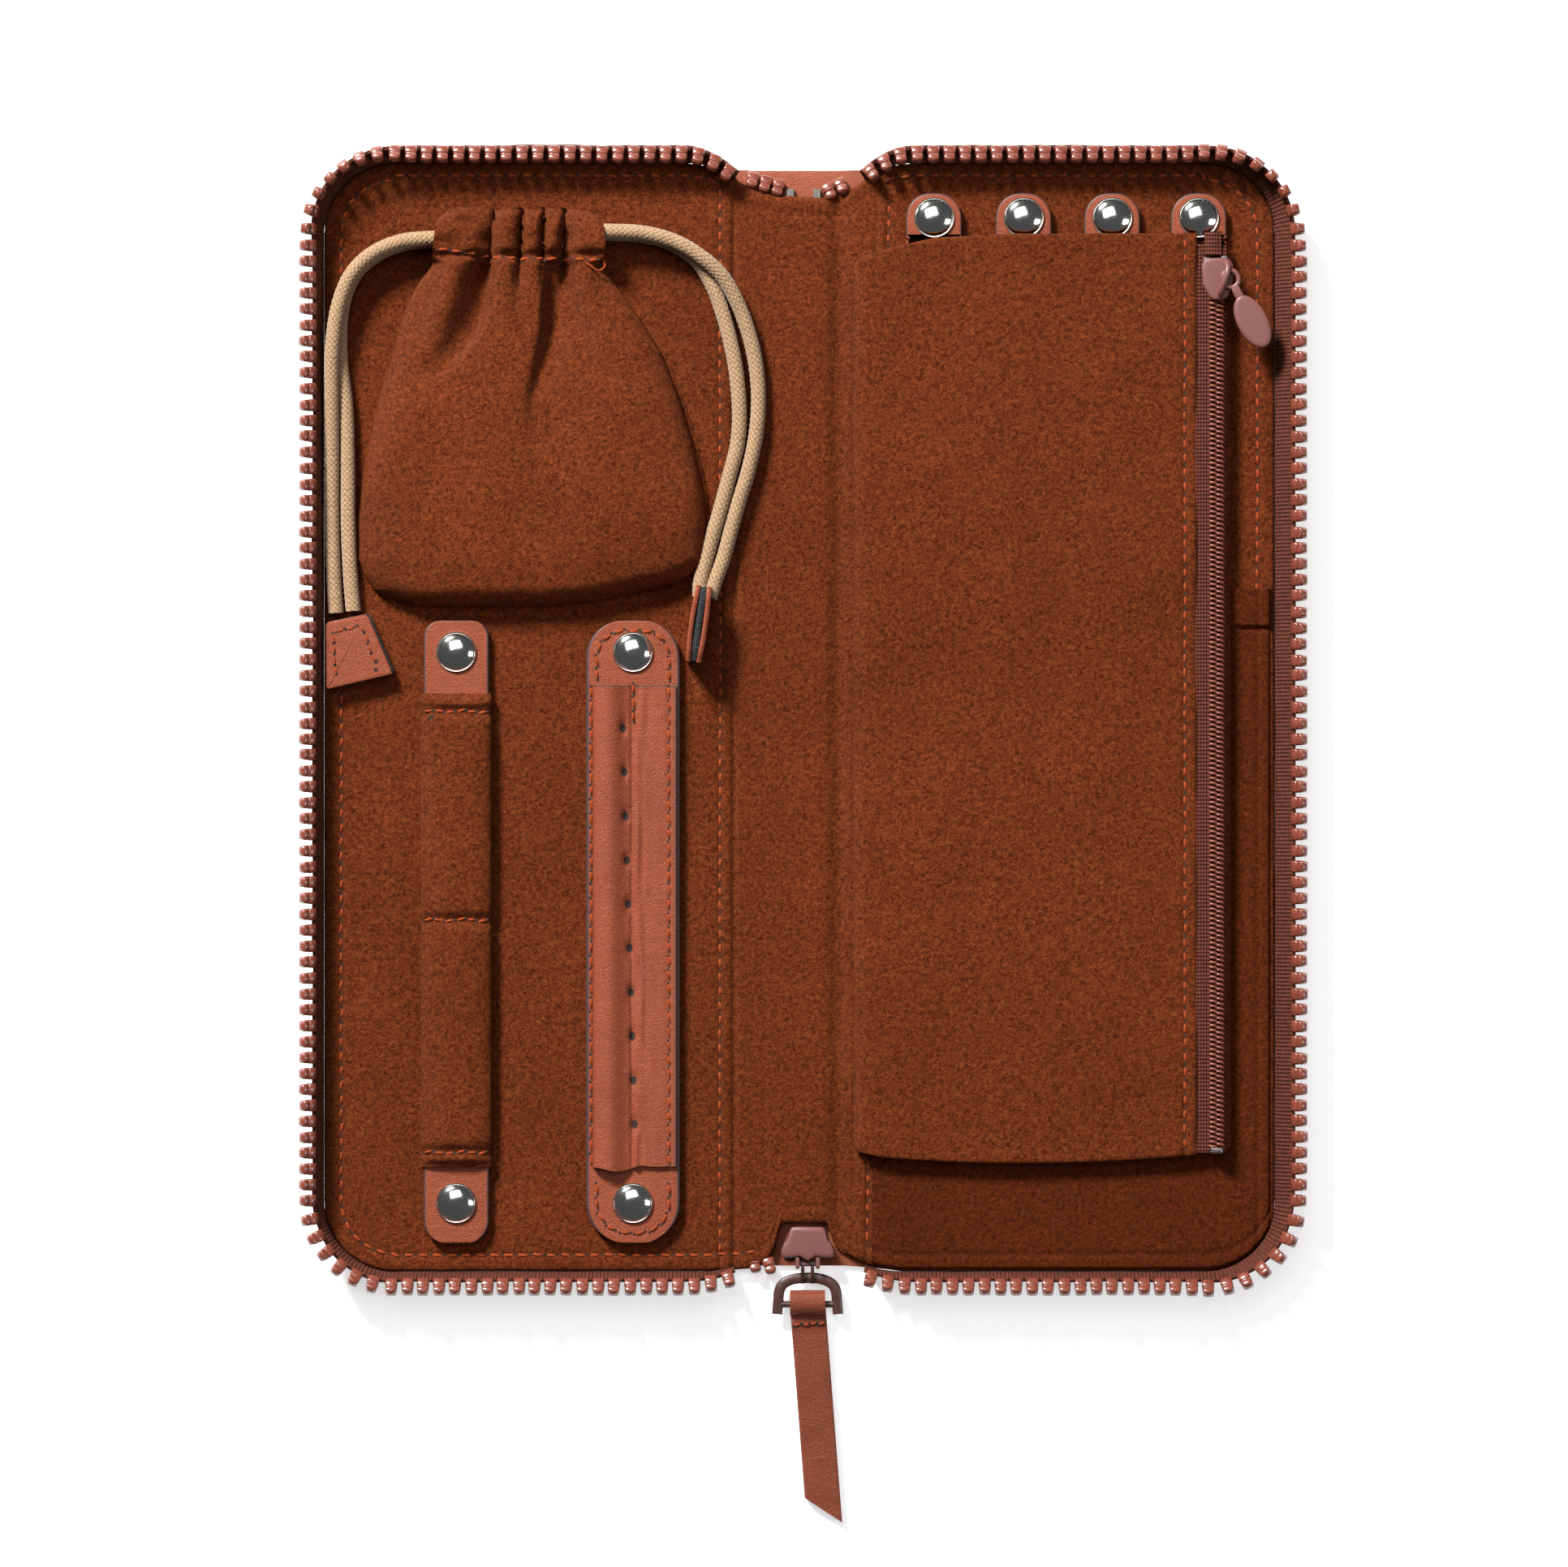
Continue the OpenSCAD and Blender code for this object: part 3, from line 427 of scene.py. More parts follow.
def plate_parts(outline, z0, z1, round_edge=0.3, dark=2):
    """A plate with rounded upper edges. The first strips up its side take material 1."""
    r = round_edge
    steps = [(0, z0), (0, z1 - r), (0.3 * r, z1 - 0.3 * r), (r, z1), (r + 0.5, z1 + 0.02)]
    rings = [np.column_stack([inset(outline, d), np.full(len(outline), z)]) for d, z in steps]
    verts, faces = ring_parts(rings)
    n = len(outline)
    ids = [1 if k < dark * n else 0 for k in range(len(faces))]
    return verts, faces, ids


def arc(cx, cy, rx, ry, a0, a1, n):
    a = np.radians(np.linspace(a0, a1, n))
    return np.column_stack([cx + rx * np.cos(a), cy + ry * np.sin(a)])


def strap_outline(x, w, y0, y1, r0, r1, n=9):
    """Counterclockwise strap with corner radii r0 below and r1 above; 0.01 is a square corner."""
    a, b = x - w / 2, x + w / 2
    return np.concatenate([
        arc(b - r0, y0 + r0, r0, r0, -90, 0, n), arc(b - r1, y1 - r1, r1, r1, 0, 90, n),
        arc(a + r1, y1 - r1, r1, r1, 90, 180, n), arc(a + r0, y0 + r0, r0, r0, 180, 270, n),
    ])


def resample(path, step):
    """Points at equal steps along a smooth curve through the path."""
    p = np.asarray(path, float)
    q = np.vstack([2 * p[0] - p[1], p, 2 * p[-1] - p[-2]])
    t = np.linspace(0, 1, 24, endpoint=False)[:, None]
    out = []
    for i in range(1, len(q) - 2):
        a, b, c, d = q[i - 1], q[i], q[i + 1], q[i + 2]
        out.append(0.5 * (2 * b + (c - a) * t + (2 * a - 5 * b + 4 * c - d) * t**2 + (3 * b - a - 3 * c + d) * t**3))
    out = np.vstack(out + [q[-2:-1]])
    gone = np.concatenate([[0], np.cumsum(np.linalg.norm(np.diff(out, axis=0), axis=1))])
    count = max(2, int(round(gone[-1] / step)) + 1)
    at = np.linspace(0, gone[-1], count)
    return np.column_stack([np.interp(at, gone, out[:, k]) for k in range(3)]), gone[-1]


def walk(path, step):
    """Points at equal steps along straight runs between the path's points."""
    p = np.asarray(path, float)
    gone = np.concatenate([[0], np.cumsum(np.linalg.norm(np.diff(p, axis=0), axis=1))])
    at = np.linspace(0, gone[-1], max(2, int(gone[-1] / step)))
    return np.column_stack([np.interp(at, gone, p[:, k]) for k in range(p.shape[1])]), gone[-1]


def frames(line):
    """Direction, side and upright unit vectors along a line."""
    d = np.gradient(line, axis=0)
    d /= np.linalg.norm(d, axis=1)[:, None]
    side = np.cross([0, 0, 1.0], d)
    side /= np.maximum(np.linalg.norm(side, axis=1), 1e-6)[:, None]
    return d, side, np.cross(d, side)


def tube_rings(line, radius, sides=10):
    """Rings round a line; radius is one number or an array of one row a ring."""
    _, side, up = frames(line)
    a = around(sides)
    r = np.broadcast_to(np.asarray(radius, float), (len(line), sides))
    ca, sa = np.cos(a), np.sin(a)
    return [line[i] + r[i][:, None] * (ca[:, None] * side[i] + sa[:, None] * up[i]) for i in range(len(line))]


def blob(centre, axis, half, radius, rise=1.0, sides=8, up=(0, 0, 1), sag=0.12):
    """A thread capsule: it lies along axis and its ends dip."""
    axis = np.asarray(axis, float) / np.linalg.norm(axis)
    up = np.asarray(up, float)
    side = np.cross(up, axis)
    side /= np.linalg.norm(side)
    up = np.cross(axis, side)
    rings = []
    for t in (-1, -0.92, -0.6, 0, 0.6, 0.92, 1):
        width = radius * max(0.12, math.sqrt(max(0, 1 - abs(t) ** 3.5)))
        mid = np.asarray(centre) + axis * half * t - up * sag * t**4 * 2
        a = around(sides)[:, None]
        rings.append(mid + width * (np.cos(a) * side + rise * np.sin(a) * up))
    return ring_parts(rings)


def disc_parts(x, y, z, rx, ry, turn=0.0, n=10, height=0.03):
    a = around(n)
    c, s = math.cos(turn), math.sin(turn)
    px, py = rx * np.cos(a), ry * np.sin(a)
    ring = np.column_stack([x + c * px - s * py, y + s * px + c * py])
    return ring_parts([np.column_stack([ring, np.full(n, z - 0.1)]), np.column_stack([ring, np.full(n, z + height)])])


def stitches(
    name, path, height, body, seed, pieces=None, pitch=2.8, thread=1.95, radius=0.29, slant=9, hole=0.36
):
    """Threads along a path of (x, y), added to pieces or made into one; height is a number or a function."""
    rng = np.random.default_rng(seed)
    own = pieces is None
    pieces = pieces or Pieces()
    line, long = walk([(p[0], p[1], 0) for p in path], 0.2)
    count = max(1, int(round(long / pitch)))
    at = (np.arange(count) + 0.5) / count * (len(line) - 1)
    z_of = height if callable(height) else (lambda x, y: height)
    for k in at:
        i = int(k)
        p = line[i]
        d = line[min(i + 2, len(line) - 1)] - line[max(i - 2, 0)]
        turn = math.atan2(d[1], d[0]) + math.radians(slant + rng.normal(0, 3))
        half = thread / 2 * rng.uniform(0.9, 1.08)
        z = float(z_of(p[0], p[1]))
        axis = (math.cos(turn), math.sin(turn), 0)
        verts, faces = blob((p[0] + rng.normal(0, 0.04), p[1] + rng.normal(0, 0.04), z + 0.07), axis, half, radius, 0.8)
        pieces.add(verts, faces, 0)
        # painted shade: each thread end gets a small dark disc in the hole-shade colour, standing in for the shade
        # where the thread dips into its needle hole
        for s in (-1, 1):
            hx, hy = p[0] + s * axis[0] * (half + 0.12), p[1] + s * axis[1] * (half + 0.12)
            verts, faces = disc_parts(hx, hy, float(z_of(hx, hy)), hole * 0.9, hole * 0.75, turn, 8, 0.025)
            pieces.add(verts, faces, 1)
    if own:
        pieces.make(name, [THREAD, HOLE_SHADE], body=body)


# ---------------------------------------------------------------- drawcords
CORD_R = 1.45
ROUTES = {
    "cord_left_outer": [
        (-72.4, 93.8, 8), (-78, 93.2, 8), (-83.4, 91, 8), (-87.8, 86.8, 8), (-90.4, 80.4, 7.8), (-91.6, 72, 7.4),
        (-91.8, 62, 6.4), (-91.8, 50, 5.4), (-91.8, 38, 4.8), (-91.5, 28, 4.8), (-91, 20.4, 4.8),
    ],
    "cord_left_inner": [
        (-72.4, 93.6, 4.9), (-78, 92.9, 4.9), (-83.3, 90.7, 4.8), (-87.6, 86.5, 4.8), (-89.9, 80, 4.8),
        (-90.2, 71, 4.8),
        (-89.1, 61, 4.8), (-88.7, 50, 4.8), (-88.6, 38, 4.8), (-88.2, 28, 4.8), (-87.6, 20.8, 4.8),
    ],
    "cord_right_outer": [
        (-37, 95.2, 8), (-31, 94.9, 8), (-25, 93.4, 8), (-19.6, 90.4, 7.7), (-15, 86.2, 6.8), (-11.6, 80, 5.7),
        (-9.2, 72.6, 5), (-8.1, 64.6, 4.8), (-8.4, 56.6, 4.8), (-10, 48.6, 4.8), (-12, 42, 4.8),
        (-13.6, 36.2, 4.8), (-15, 31, 4.8), (-16.6, 26.6, 5.2), (-17.6, 23.4, 5.6),
    ],
    "cord_right_inner": [
        (-37, 95, 4.9), (-31, 94.6, 4.9), (-25.2, 93, 4.8), (-20.3, 89.7, 4.8), (-16.9, 84.4, 4.8), (-14.3, 76.8, 4.8),
        (-12.5, 68.4, 4.8), (-11.8, 60, 4.8), (-12.2, 53.6, 4.8), (-13.7, 47.6, 4.8), (-15.3, 41.6, 4.8),
        (-16.8, 36.4, 4.8), (-18.2, 31.4, 4.8), (-19.4, 26.8, 5.2), (-19.6, 23.6, 5.6),
    ],
}
SLEEVE = 1.6  # how far a cord runs on inside the pouch's collar


def braided_cord(name, route):
    """A round braid: eight strands cross over and under; crown is 1 on top of a strand."""
    start = np.array(route[0]) + [SLEEVE if "left" in name else -SLEEVE, 0, 0]
    line, long = resample([start] + route, 0.22)
    sides = 32
    a = around(sides)[None, :]
    s = np.linspace(0, long, len(line))[:, None]
    turn = 2 * math.pi * s / 9.0
    crossing = np.sin(4 * (a + turn)) * np.sin(4 * (a - turn))
    crown = np.abs(crossing) ** 0.6
    fuzz = np.random.default_rng(len(name)).normal(0, 0.015, crown.shape)
    radius = CORD_R - 0.13 + 0.2 * crown + fuzz
    verts, faces = ring_parts(tube_rings(line, radius, sides))
    obj = add_piece(name, verts, faces, COTTON, slot="cord_cotton", replaces=(name,), sharp=80)
    # crown is also stored on the mesh, where the cord's material turns it into painted shade between the strands
    layer = obj.data.attributes.new("crown", "FLOAT", "POINT")
    layer.data.foreach_set("value", crown.ravel())
    return obj, line, long


cords = {name: braided_cord(name, route) for name, route in ROUTES.items()}


def blend_fold(obj):
    """Bakes obj's placement into its mesh; obj is not bent between a cover and the spine."""
    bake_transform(obj)


for name, (obj, line, long) in cords.items():
    if "right" in name:
        blend_fold(obj)
    else:
        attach(obj, "left_cover")

# ---------------------------------------------------------------- cover outline and zip path
HALF_H, REACH, CORNER_R = 109.0, 93.5, 14.0
SEAM_IN, SEAM_X, SPINE_SEAM_X = 3.4, 90.1, -15.6
TOOTH_PITCH = 3.1
DIP_TOP_R, DIP_TOP_A, DIP_LOW_R, DIP_LOW_A, WALL_END = 14.0, 40.0, 20.0, 20.0, 13.0
DIP_TOP_X = WALL_END + DIP_TOP_R * math.sin(math.radians(DIP_TOP_A))
DIP_LOW_X = WALL_END + DIP_LOW_R * math.sin(math.radians(DIP_LOW_A))
PANEL_Z, LEATHER_T = 3.2, 0.9
S_TOP = DIP_TOP_R * math.radians(DIP_TOP_A)
S_CORNER1 = S_TOP + REACH - CORNER_R - DIP_TOP_X
CORNER_LEN = CORNER_R * math.pi / 2
S_SIDE = S_CORNER1 + CORNER_LEN
S_CORNER2 = S_SIDE + 2 * HALF_H - 2 * CORNER_R
S_LOW = S_CORNER2 + CORNER_LEN
S_DIP = S_LOW + REACH - CORNER_R - DIP_LOW_X
CHAIN = S_DIP + DIP_LOW_R * math.radians(DIP_LOW_A)
LEAN_TOP = np.array([60, 50, 20, -20, -65.0])
LEAN_LOW = np.array([0, 5, 15, 30, 50.0])
LEAN_SIDE = {-1: np.array([0, 10, 20, 30, 50.0]), 1: np.array([20, 35, 50, 50, 35.0])}


def station(s):
    """The zip's path along the right-hand cover's edge: x, y and the outward direction."""
    def on_arc(cx, cy, r, a):
        return cx + r * math.cos(math.radians(a)), cy + r * math.sin(math.radians(a)), a

    far = REACH - CORNER_R
    if s < S_TOP:
        return on_arc(DIP_TOP_X, HALF_H - DIP_TOP_R, DIP_TOP_R, 90 + DIP_TOP_A * (1 - s / S_TOP))
    if s < S_CORNER1:
        return DIP_TOP_X + s - S_TOP, HALF_H, 90
    if s < S_SIDE:
        return on_arc(far, HALF_H - CORNER_R, CORNER_R, 90 * (1 - (s - S_CORNER1) / CORNER_LEN))
    if s < S_CORNER2:
        return REACH, HALF_H - CORNER_R - (s - S_SIDE), 0
    if s < S_LOW:
        return on_arc(far, CORNER_R - HALF_H, CORNER_R, -90 * (s - S_CORNER2) / CORNER_LEN)
    if s < S_DIP:
        return far - (s - S_LOW), -HALF_H, -90
    return on_arc(DIP_LOW_X, DIP_LOW_R - HALF_H, DIP_LOW_R, -90 - DIP_LOW_A * (s - S_DIP) / (CHAIN - S_DIP))


def lean_at(s, side):
    run = 8
    a = smooth_step((s - S_CORNER1 + run) / (CORNER_LEN + 2 * run))
    b = smooth_step((s - S_CORNER2 + run) / (CORNER_LEN + 2 * run))
    if s < (S_SIDE + S_CORNER2) / 2:
        return LEAN_TOP * (1 - a) + LEAN_SIDE[side] * a
    return LEAN_SIDE[side] * (1 - b) + LEAN_LOW * b


def tape_profile(s, side):
    """The tape's middle line at a place on the path: distance outwards and height."""
    lean = np.radians(lean_at(s, side)[:4])
    strip = 0.6 + (1.3 - 0.6) * smooth_step(min(s, CHAIN - s) / 10)
    points = [(0.4, 1.0), (0.4, 3.4)]
    for a in lean:
        points.append((points[-1][0] + strip * math.sin(a), points[-1][1] + strip * math.cos(a)))
    return np.array(points)


TAPE_T, PROFILE_STEPS = 0.62, 20


def fine_profile(points):
    padded = np.column_stack([points, np.zeros(len(points))])
    line, _ = resample(padded, np.linalg.norm(np.diff(points, axis=0), axis=1).sum() / PROFILE_STEPS)
    return line[:, :2]


def build_tape(side):
    stops = np.linspace(0, CHAIN, 330)
    rings, uvs = [], []
    rng_seed = 11 if side < 0 else 12
    for s in stops:
        x, y, a = station(s)
        line = fine_profile(tape_profile(s, side))
        step = np.gradient(line, axis=0)
        step /= np.linalg.norm(step, axis=1)[:, None]
        out = np.column_stack([step[:, 1], -step[:, 0]])
        grow = np.linspace(0, 1, len(line))
        ripple = 0.12 * grow * waves(np.array([s]), np.array([0.0]), 14, rng_seed)[0]
        mid = line + out * ripple[:, None]
        both = np.vstack([mid + out * TAPE_T / 2, (mid - out * TAPE_T / 2)[::-1]])
        ca, sa = math.cos(math.radians(a)), math.sin(math.radians(a))
        rings.append(np.column_stack([x + both[:, 0] * ca, y + both[:, 0] * sa, both[:, 1]]))
        long = np.linspace(0, 9, len(line))
        uvs.append(np.column_stack([np.concatenate([long, long[::-1]]), np.full(2 * len(line), s)]))
    verts, faces = ring_parts(rings)
    if side < 0:
        verts = verts * [-1, 1, 1]
        faces = [f[::-1] for f in faces]
    name = "left" if side < 0 else "right"
    return add_piece(
        f"{name}_tape", verts, faces, TAPE, body=f"{name}_cover", slot="zip_tape", uvs=np.concatenate(uvs),
        replaces=(f"{name}_zip_tape",),
    )


TOOTH = [
    (-0.3, 0.85, 0.85), (-0.15, 1.1, 1.05), (0, 1.2, 1.14), (1.1, 1.2, 1.14), (1.28, 1.12, 1.06), (1.4, 0.98, 0.92),
    (1.6, 0.96, 0.9), (1.75, 1.06, 0.98), (2.0, 1.12, 1.02), (2.35, 1.1, 1.0), (2.65, 0.96, 0.9), (2.88, 0.7, 0.66),
    (3.0, 0.34, 0.32),
]


def tooth_parts(origin, out, along, up, square=0.32):
    """One moulded tooth: a block, a waist and a rounded head. up is the way that its head points."""
    a = around(16)
    c, s = np.cos(a), np.sin(a)
    p = np.abs(c) ** square * np.sign(c), np.abs(s) ** square * np.sign(s)
    rings = []
    for v, w, t in TOOTH:
        rings.append(origin + v * up + (p[0] * w)[:, None] * along + (p[1] * t)[:, None] * out)
    return ring_parts(rings)


def build_teeth(side):
    count = int(CHAIN / TOOTH_PITCH)
    pieces = Pieces()
    rng = np.random.default_rng(5 + side)
    for i in range(count):
        s = (i + 0.5) * CHAIN / count
        x, y, a = station(s)
        tip = tape_profile(s, side)[5]
        lean = math.radians(lean_at(s, side)[4] + rng.normal(0, 1.5))
        a = math.radians(a + rng.normal(0, 1.2))
        flat = np.array([math.cos(a), math.sin(a), 0])
        along = np.array([-math.sin(a), math.cos(a), 0])
        up = flat * math.sin(lean) + np.array([0, 0, 1]) * math.cos(lean)
        out = flat * math.cos(lean) - np.array([0, 0, 1]) * math.sin(lean)
        origin = np.array([x, y, 0]) + flat * tip[0] + [0, 0, tip[1]] + up * 0.2
        verts, faces = tooth_parts(origin, out, along, up)
        pieces.add(verts * [side, 1, 1], [f[::side] for f in faces])
    name = "left" if side < 0 else "right"
    return pieces.make(
        f"{name}_teeth", ZIP, body=f"{name}_cover", slot="zip_plastic", replaces=(f"{name}_zip_teeth",), sharp=60
    )


for side in (-1, 1):
    build_tape(side)
    build_teeth(side)


# ---------------------------------------------------------------- linings and outer leather
def corner_cut(x, r=CORNER_R):
    """How far the outline drops at its outer corner."""
    over = np.clip(np.abs(x) - (REACH - r), 0, r)
    return r - np.sqrt(np.maximum(r * r - over * over, 0))


def lining_top(x):
    y = np.interp(
        x,
        [-30, -22, -18, -15, -13, -10.5, -7.5, -4.5, 0, 5, 7.2, 10, 13, 15, 18, 22, 30],
        [109, 109, 108.4, 107.2, 105.9, 104.6, 103.4, 102.7, 102.5, 102.2, 102.1, 103.8, 105.9, 107.2, 108.4, 109, 109],
    )
    return y - corner_cut(x)


def lining_low(x):
    y = np.interp(
        x,
        [-30, -20, -13.6, -10, -7.6, -6.2, -5.1, -4.4, -4, -3.4, 0, 5.4, 5.9, 6.6, 7.4, 8.4, 10.9, 13, 16, 20, 30],
        [-109, -109, -108.8, -108.5, -107.9, -106.9, -105, -102.6, -100.8, -99.7, -99.6, -99.7, -101, -103.4, -104.4,
         -105.2, -106.5, -107.5, -108.4, -109, -109],
    )
    return y + corner_cut(x)


def seam_x(y, top, low):
    """x of a slanting seam that runs from top at y 100 to low at y -100."""
    return low + (top - low) * (y + 100) / 200


def lining_height(x, y):
    """Top of the suede: soft edges, sewn grooves, creases and slight waves."""
    base = 3.02 + 0.16 * smooth_step((np.abs(x) - 9) / 4)
    base = base + 0.05 * waves(x, y, 42, 3) + 0.035 * waves(x, y, 17, 4)
    edge = np.minimum(np.minimum(lining_top(x) - y, y - lining_low(x)), REACH - np.abs(x))
    base = base - 0.95 * (1 - rounded(edge / 1.3))
    base = base - 0.2 * bell(edge - 3.4, 0.75) + 0.1 * bell(edge - 2.2, 0.8)
    groove = 0.32 * bell(x + 15.6, 0.55) + 0.55 * bell(x + 12.8, 0.7) + 0.1 * bell(x + 6.9, 0.5)
    groove = groove + 1.0 * bell(x - 7.6, 1.7) + 0.3 * bell(x - seam_x(y, 15.3, 10.4), 0.6)
    groove = groove + 0.32 * bell(x - seam_x(y, 17.6, 13.3), 0.55)
    puff = 0.16 * bell(x + 14.2, 0.9) + 0.14 * bell(x - seam_x(y, 16.4, 11.9), 0.8)
    return base - groove + puff


def edge_spread(a, b, count, ends=(0.35, 0.35), run=8.0, extra=()):
    """Places from a to b, closer together near the ends and round each extra line."""
    t = np.linspace(a, b, 4000)
    want = np.full(t.shape, 1.0)
    want += 2.2 * np.exp(-(t - a) / run * 2) * (ends[0] > 0) + 2.2 * np.exp(-(b - t) / run * 2) * (ends[1] > 0)
    for e in extra:
        want += 3.0 * bell(t - e, 1.8)
    total = np.concatenate([[0], np.cumsum((want[1:] + want[:-1]) / 2)])
    return np.interp(np.linspace(0, total[-1], count), total, t)


def strip_grid(x0, x1, columns, rows, top, low, extra=()):
    xs = edge_spread(x0, x1, columns, extra=extra)
    ts = edge_spread(0, 218, rows) / 218
    x = np.repeat(xs[:, None], rows, 1)
    y = low(xs)[:, None] + (top(xs) - low(xs))[:, None] * ts[None, :]
    return x, y


def lining(name, x0, x1, columns, rows, replaces=(), body=None, extra=()):
    x, y = strip_grid(x0, x1, columns, rows, lining_top, lining_low, extra)
    return slab(
        name, x, y, lining_height(x, y), 1.95, SUEDE, body=body, slot="suede", replaces=replaces, sharp=70
    )


lining(
    "lining_left", -REACH, -13.2, 190, 430, ("left_lining", "left_foam"), "left_cover", extra=(-SEAM_X, SPINE_SEAM_X)
)
lining("lining_right", 13.2, REACH, 190, 430, ("right_lining", "right_foam"), "right_cover", extra=(SEAM_X, 15.5))
lining("lining_spine", -5, 4, 24, 300, ("spine_lining",), "spine")
blend_fold(lining("lining_left_crease", -13.2, -5, 36, 300))
blend_fold(lining("lining_right_crease", 4, 13.2, 40, 300))


def shell_top(x):
    return np.interp(np.abs(x), [0, 9, 13, 18, 24], [107.7, 107.7, 107.9, 108.7, 109]) - corner_cut(x)


def shell_low(x):
    return -np.interp(np.abs(x), [0, 9, 13, 18, 24], [108, 108, 108.3, 108.8, 109]) + corner_cut(x)


def shell(name, x0, x1, columns, replaces=(), body=None):
    x, y = strip_grid(x0, x1, columns, 60, shell_top, shell_low)
    edge = np.minimum(np.minimum(shell_top(x) - y, y - shell_low(x)), REACH - np.abs(x))
    top = LEATHER_T - 0.25 * (1 - np.clip(edge / 0.5, 0, 1)) ** 2
    return slab(
        name, x, y, top, 0.0, [LEATHER_OUTER, EDGE], edge_mat=1, body=body, slot="outer_leather", replaces=replaces
    )


shell("leather_left", -REACH, -14, 60, ("left_shell",), "left_cover")
shell("leather_right", 14, REACH, 60, ("right_shell",), "right_cover")
shell("leather_spine", -5, 5, 10, ("spine_leather",), "spine")
blend_fold(shell("leather_left_crease", -14, -5, 14))
blend_fold(shell("leather_right_crease", 5, 14, 14))


# stitches of the linings
def lining_z(x, y):
    return at_point(lining_height, x, y)


def quarter(cx, cy, rx, ry, n, swap=False):
    """A quarter turn about cx, cy: from its side to its end, or from its end to its side with swap."""
    turns = np.linspace(0, math.pi / 2, n)
    if swap:
        return [(cx + rx * math.sin(a), cy + ry * math.cos(a)) for a in turns]
    return [(cx + rx * math.cos(a), cy + ry * math.sin(a)) for a in turns]


def along_edge(x_from, x_to, top, n=60):
    """Points of the perimeter seam along the upper or lower edge."""
    xs = np.linspace(x_from, x_to, n)
    if top:
        return [(x, float(lining_top(x)) - 2.5) for x in xs]
    return [(x, float(lining_low(x)) + (3.2 if x < 0 else 3.4)) for x in xs]


for name, body, side in (("left", "left_cover", -1), ("right", "right_cover", 1)):
    low_end = -8.0 if side < 0 else 13.6
    bits = Pieces()
    far = side * (REACH - CORNER_R)
    corner = CORNER_R - SEAM_IN
    top_arc = quarter(far, HALF_H - CORNER_R, side * corner, corner, 9, swap=True)
    low_arc = quarter(far, CORNER_R - HALF_H, side * corner, -corner, 9, swap=True)[::-1]
    run = along_edge(-16 if side < 0 else 17, far, True) + top_arc + low_arc + along_edge(far, low_end, False)
    stitches("", run, lining_z, None, seed=20 + side, pieces=bits, slant=6 * side)
    seam = (
        [(SPINE_SEAM_X, 104.5), (SPINE_SEAM_X, -106)] if side < 0
        else [(seam_x(y, 17.6, 13.3), y) for y in (104, -103.5)]
    )
    stitches("", np.linspace(*seam, 40), lining_z, None, seed=30 + side, pieces=bits, slant=5)
    bits.make(f"{name}_lining_stitches", [THREAD, HOLE_SHADE], body=body)

# chain ends that lie on the spine
bits = Pieces()
for x, y, turn, lean in (
    (-9.2, 105.6, -14, 60), (-6.7, 104.9, -14, 70), (-4.2, 104.2, -14, 75), (8.2, 104.5, 23, 60), (5.9, 103.5, 23, 75),
    (-8.8, -107.6, 12, 70), (-5.9, -107.9, 16, 75),
):
    a = math.radians(turn + 90)
    flat = np.array([math.cos(a), math.sin(a), 0]) * (1 if y > 0 else -1)
    along = np.array([-flat[1], flat[0], 0])
    t = math.radians(lean)
    up = flat * -math.sin(t) * (1 if y > 0 else -1) + np.array([0, 0, math.cos(t)])
    out = np.cross(along, up)
    origin = np.array([x, y, 2.1]) - up * 1.2
    bits.add(*tooth_parts(origin, out, along, up))
bits.make("spine_chain_ends", ZIP, body="spine", slot="zip_plastic", replaces=("spine_zip_ends",), sharp=60)


# ---------------------------------------------------------------- drawstring pouch
POUCH_LEFT = [(21.8, -76), (22.8, -80.6), (25, -83.6), (28, -85.6), (31, -86.6), (39, -86.6), (49.4, -85.5),
              (61.4, -83), (69.4, -80.6), (79.6, -77.6), (85.2, -74.9), (89, -72), (92, -71.7), (99.9, -71.2)]
POUCH_RIGHT = [(21.8, -50), (22.6, -40), (24, -33), (25.4, -27), (26.6, -23), (28, -20.4), (31, -18.9), (37.4, -18.4),
               (43.8, -18.9), (53.4, -20.8), (63, -23.7), (71.8, -27.2), (78.2, -31.2), (83.8, -35.2), (88.4, -38.6),
               (92, -38), (99.9, -38.2)]
GAPS = [-60.4, -54.6, -50.2, -46.3]
LOBE_PLACES = [-72.6], [-0.1]
for gap in GAPS:
    LOBE_PLACES[0].extend([gap - 0.02, gap + 0.02])
    LOBE_PLACES[1].extend([1, -1])
LOBE_PLACES[0].append(-37.6)
LOBE_PLACES[1].append(0.1)
FOLDS = [
    # points down the valley (x, y, depth), width on its left, width on its right
    (
        [(-60.9, 90, 3.6), (-61.4, 86, 4.8), (-62.4, 80, 4.4), (-64.6, 74, 3.0), (-68.6, 69, 1.3), (-74, 64, 0)], 3.2,
        0.9
    ),
    ([(-54.8, 90, 1.8), (-54.8, 86, 1.5), (-55, 80, 0.5), (-55, 72, 0)], 1.3, 1.3),
    (
        [
            (-49.2, 90, 3.6), (-49, 84, 5.0), (-49.1, 76, 4.4), (-50.4, 69, 2.8), (-51.8, 62, 1.5), (-51.6, 54, 0.7),
            (-51, 45, 0)
        ], 0.9, 4.6
    ),
    ([(-46.6, 90, 1.4), (-46, 85, 1.6), (-43.5, 77, 1.3), (-40.5, 70, 0.9), (-36, 62, 0)], 1.2, 3.0),
    ([(-70.4, 89, 0.6), (-73, 82, 1.0), (-76, 72, 0.7), (-79, 60, 0)], 2.2, 3.0),
    ([(-41, 89, 0.7), (-37.6, 82, 1.0), (-33.4, 74, 0.6), (-29, 66, 0)], 2.4, 2.2),
]


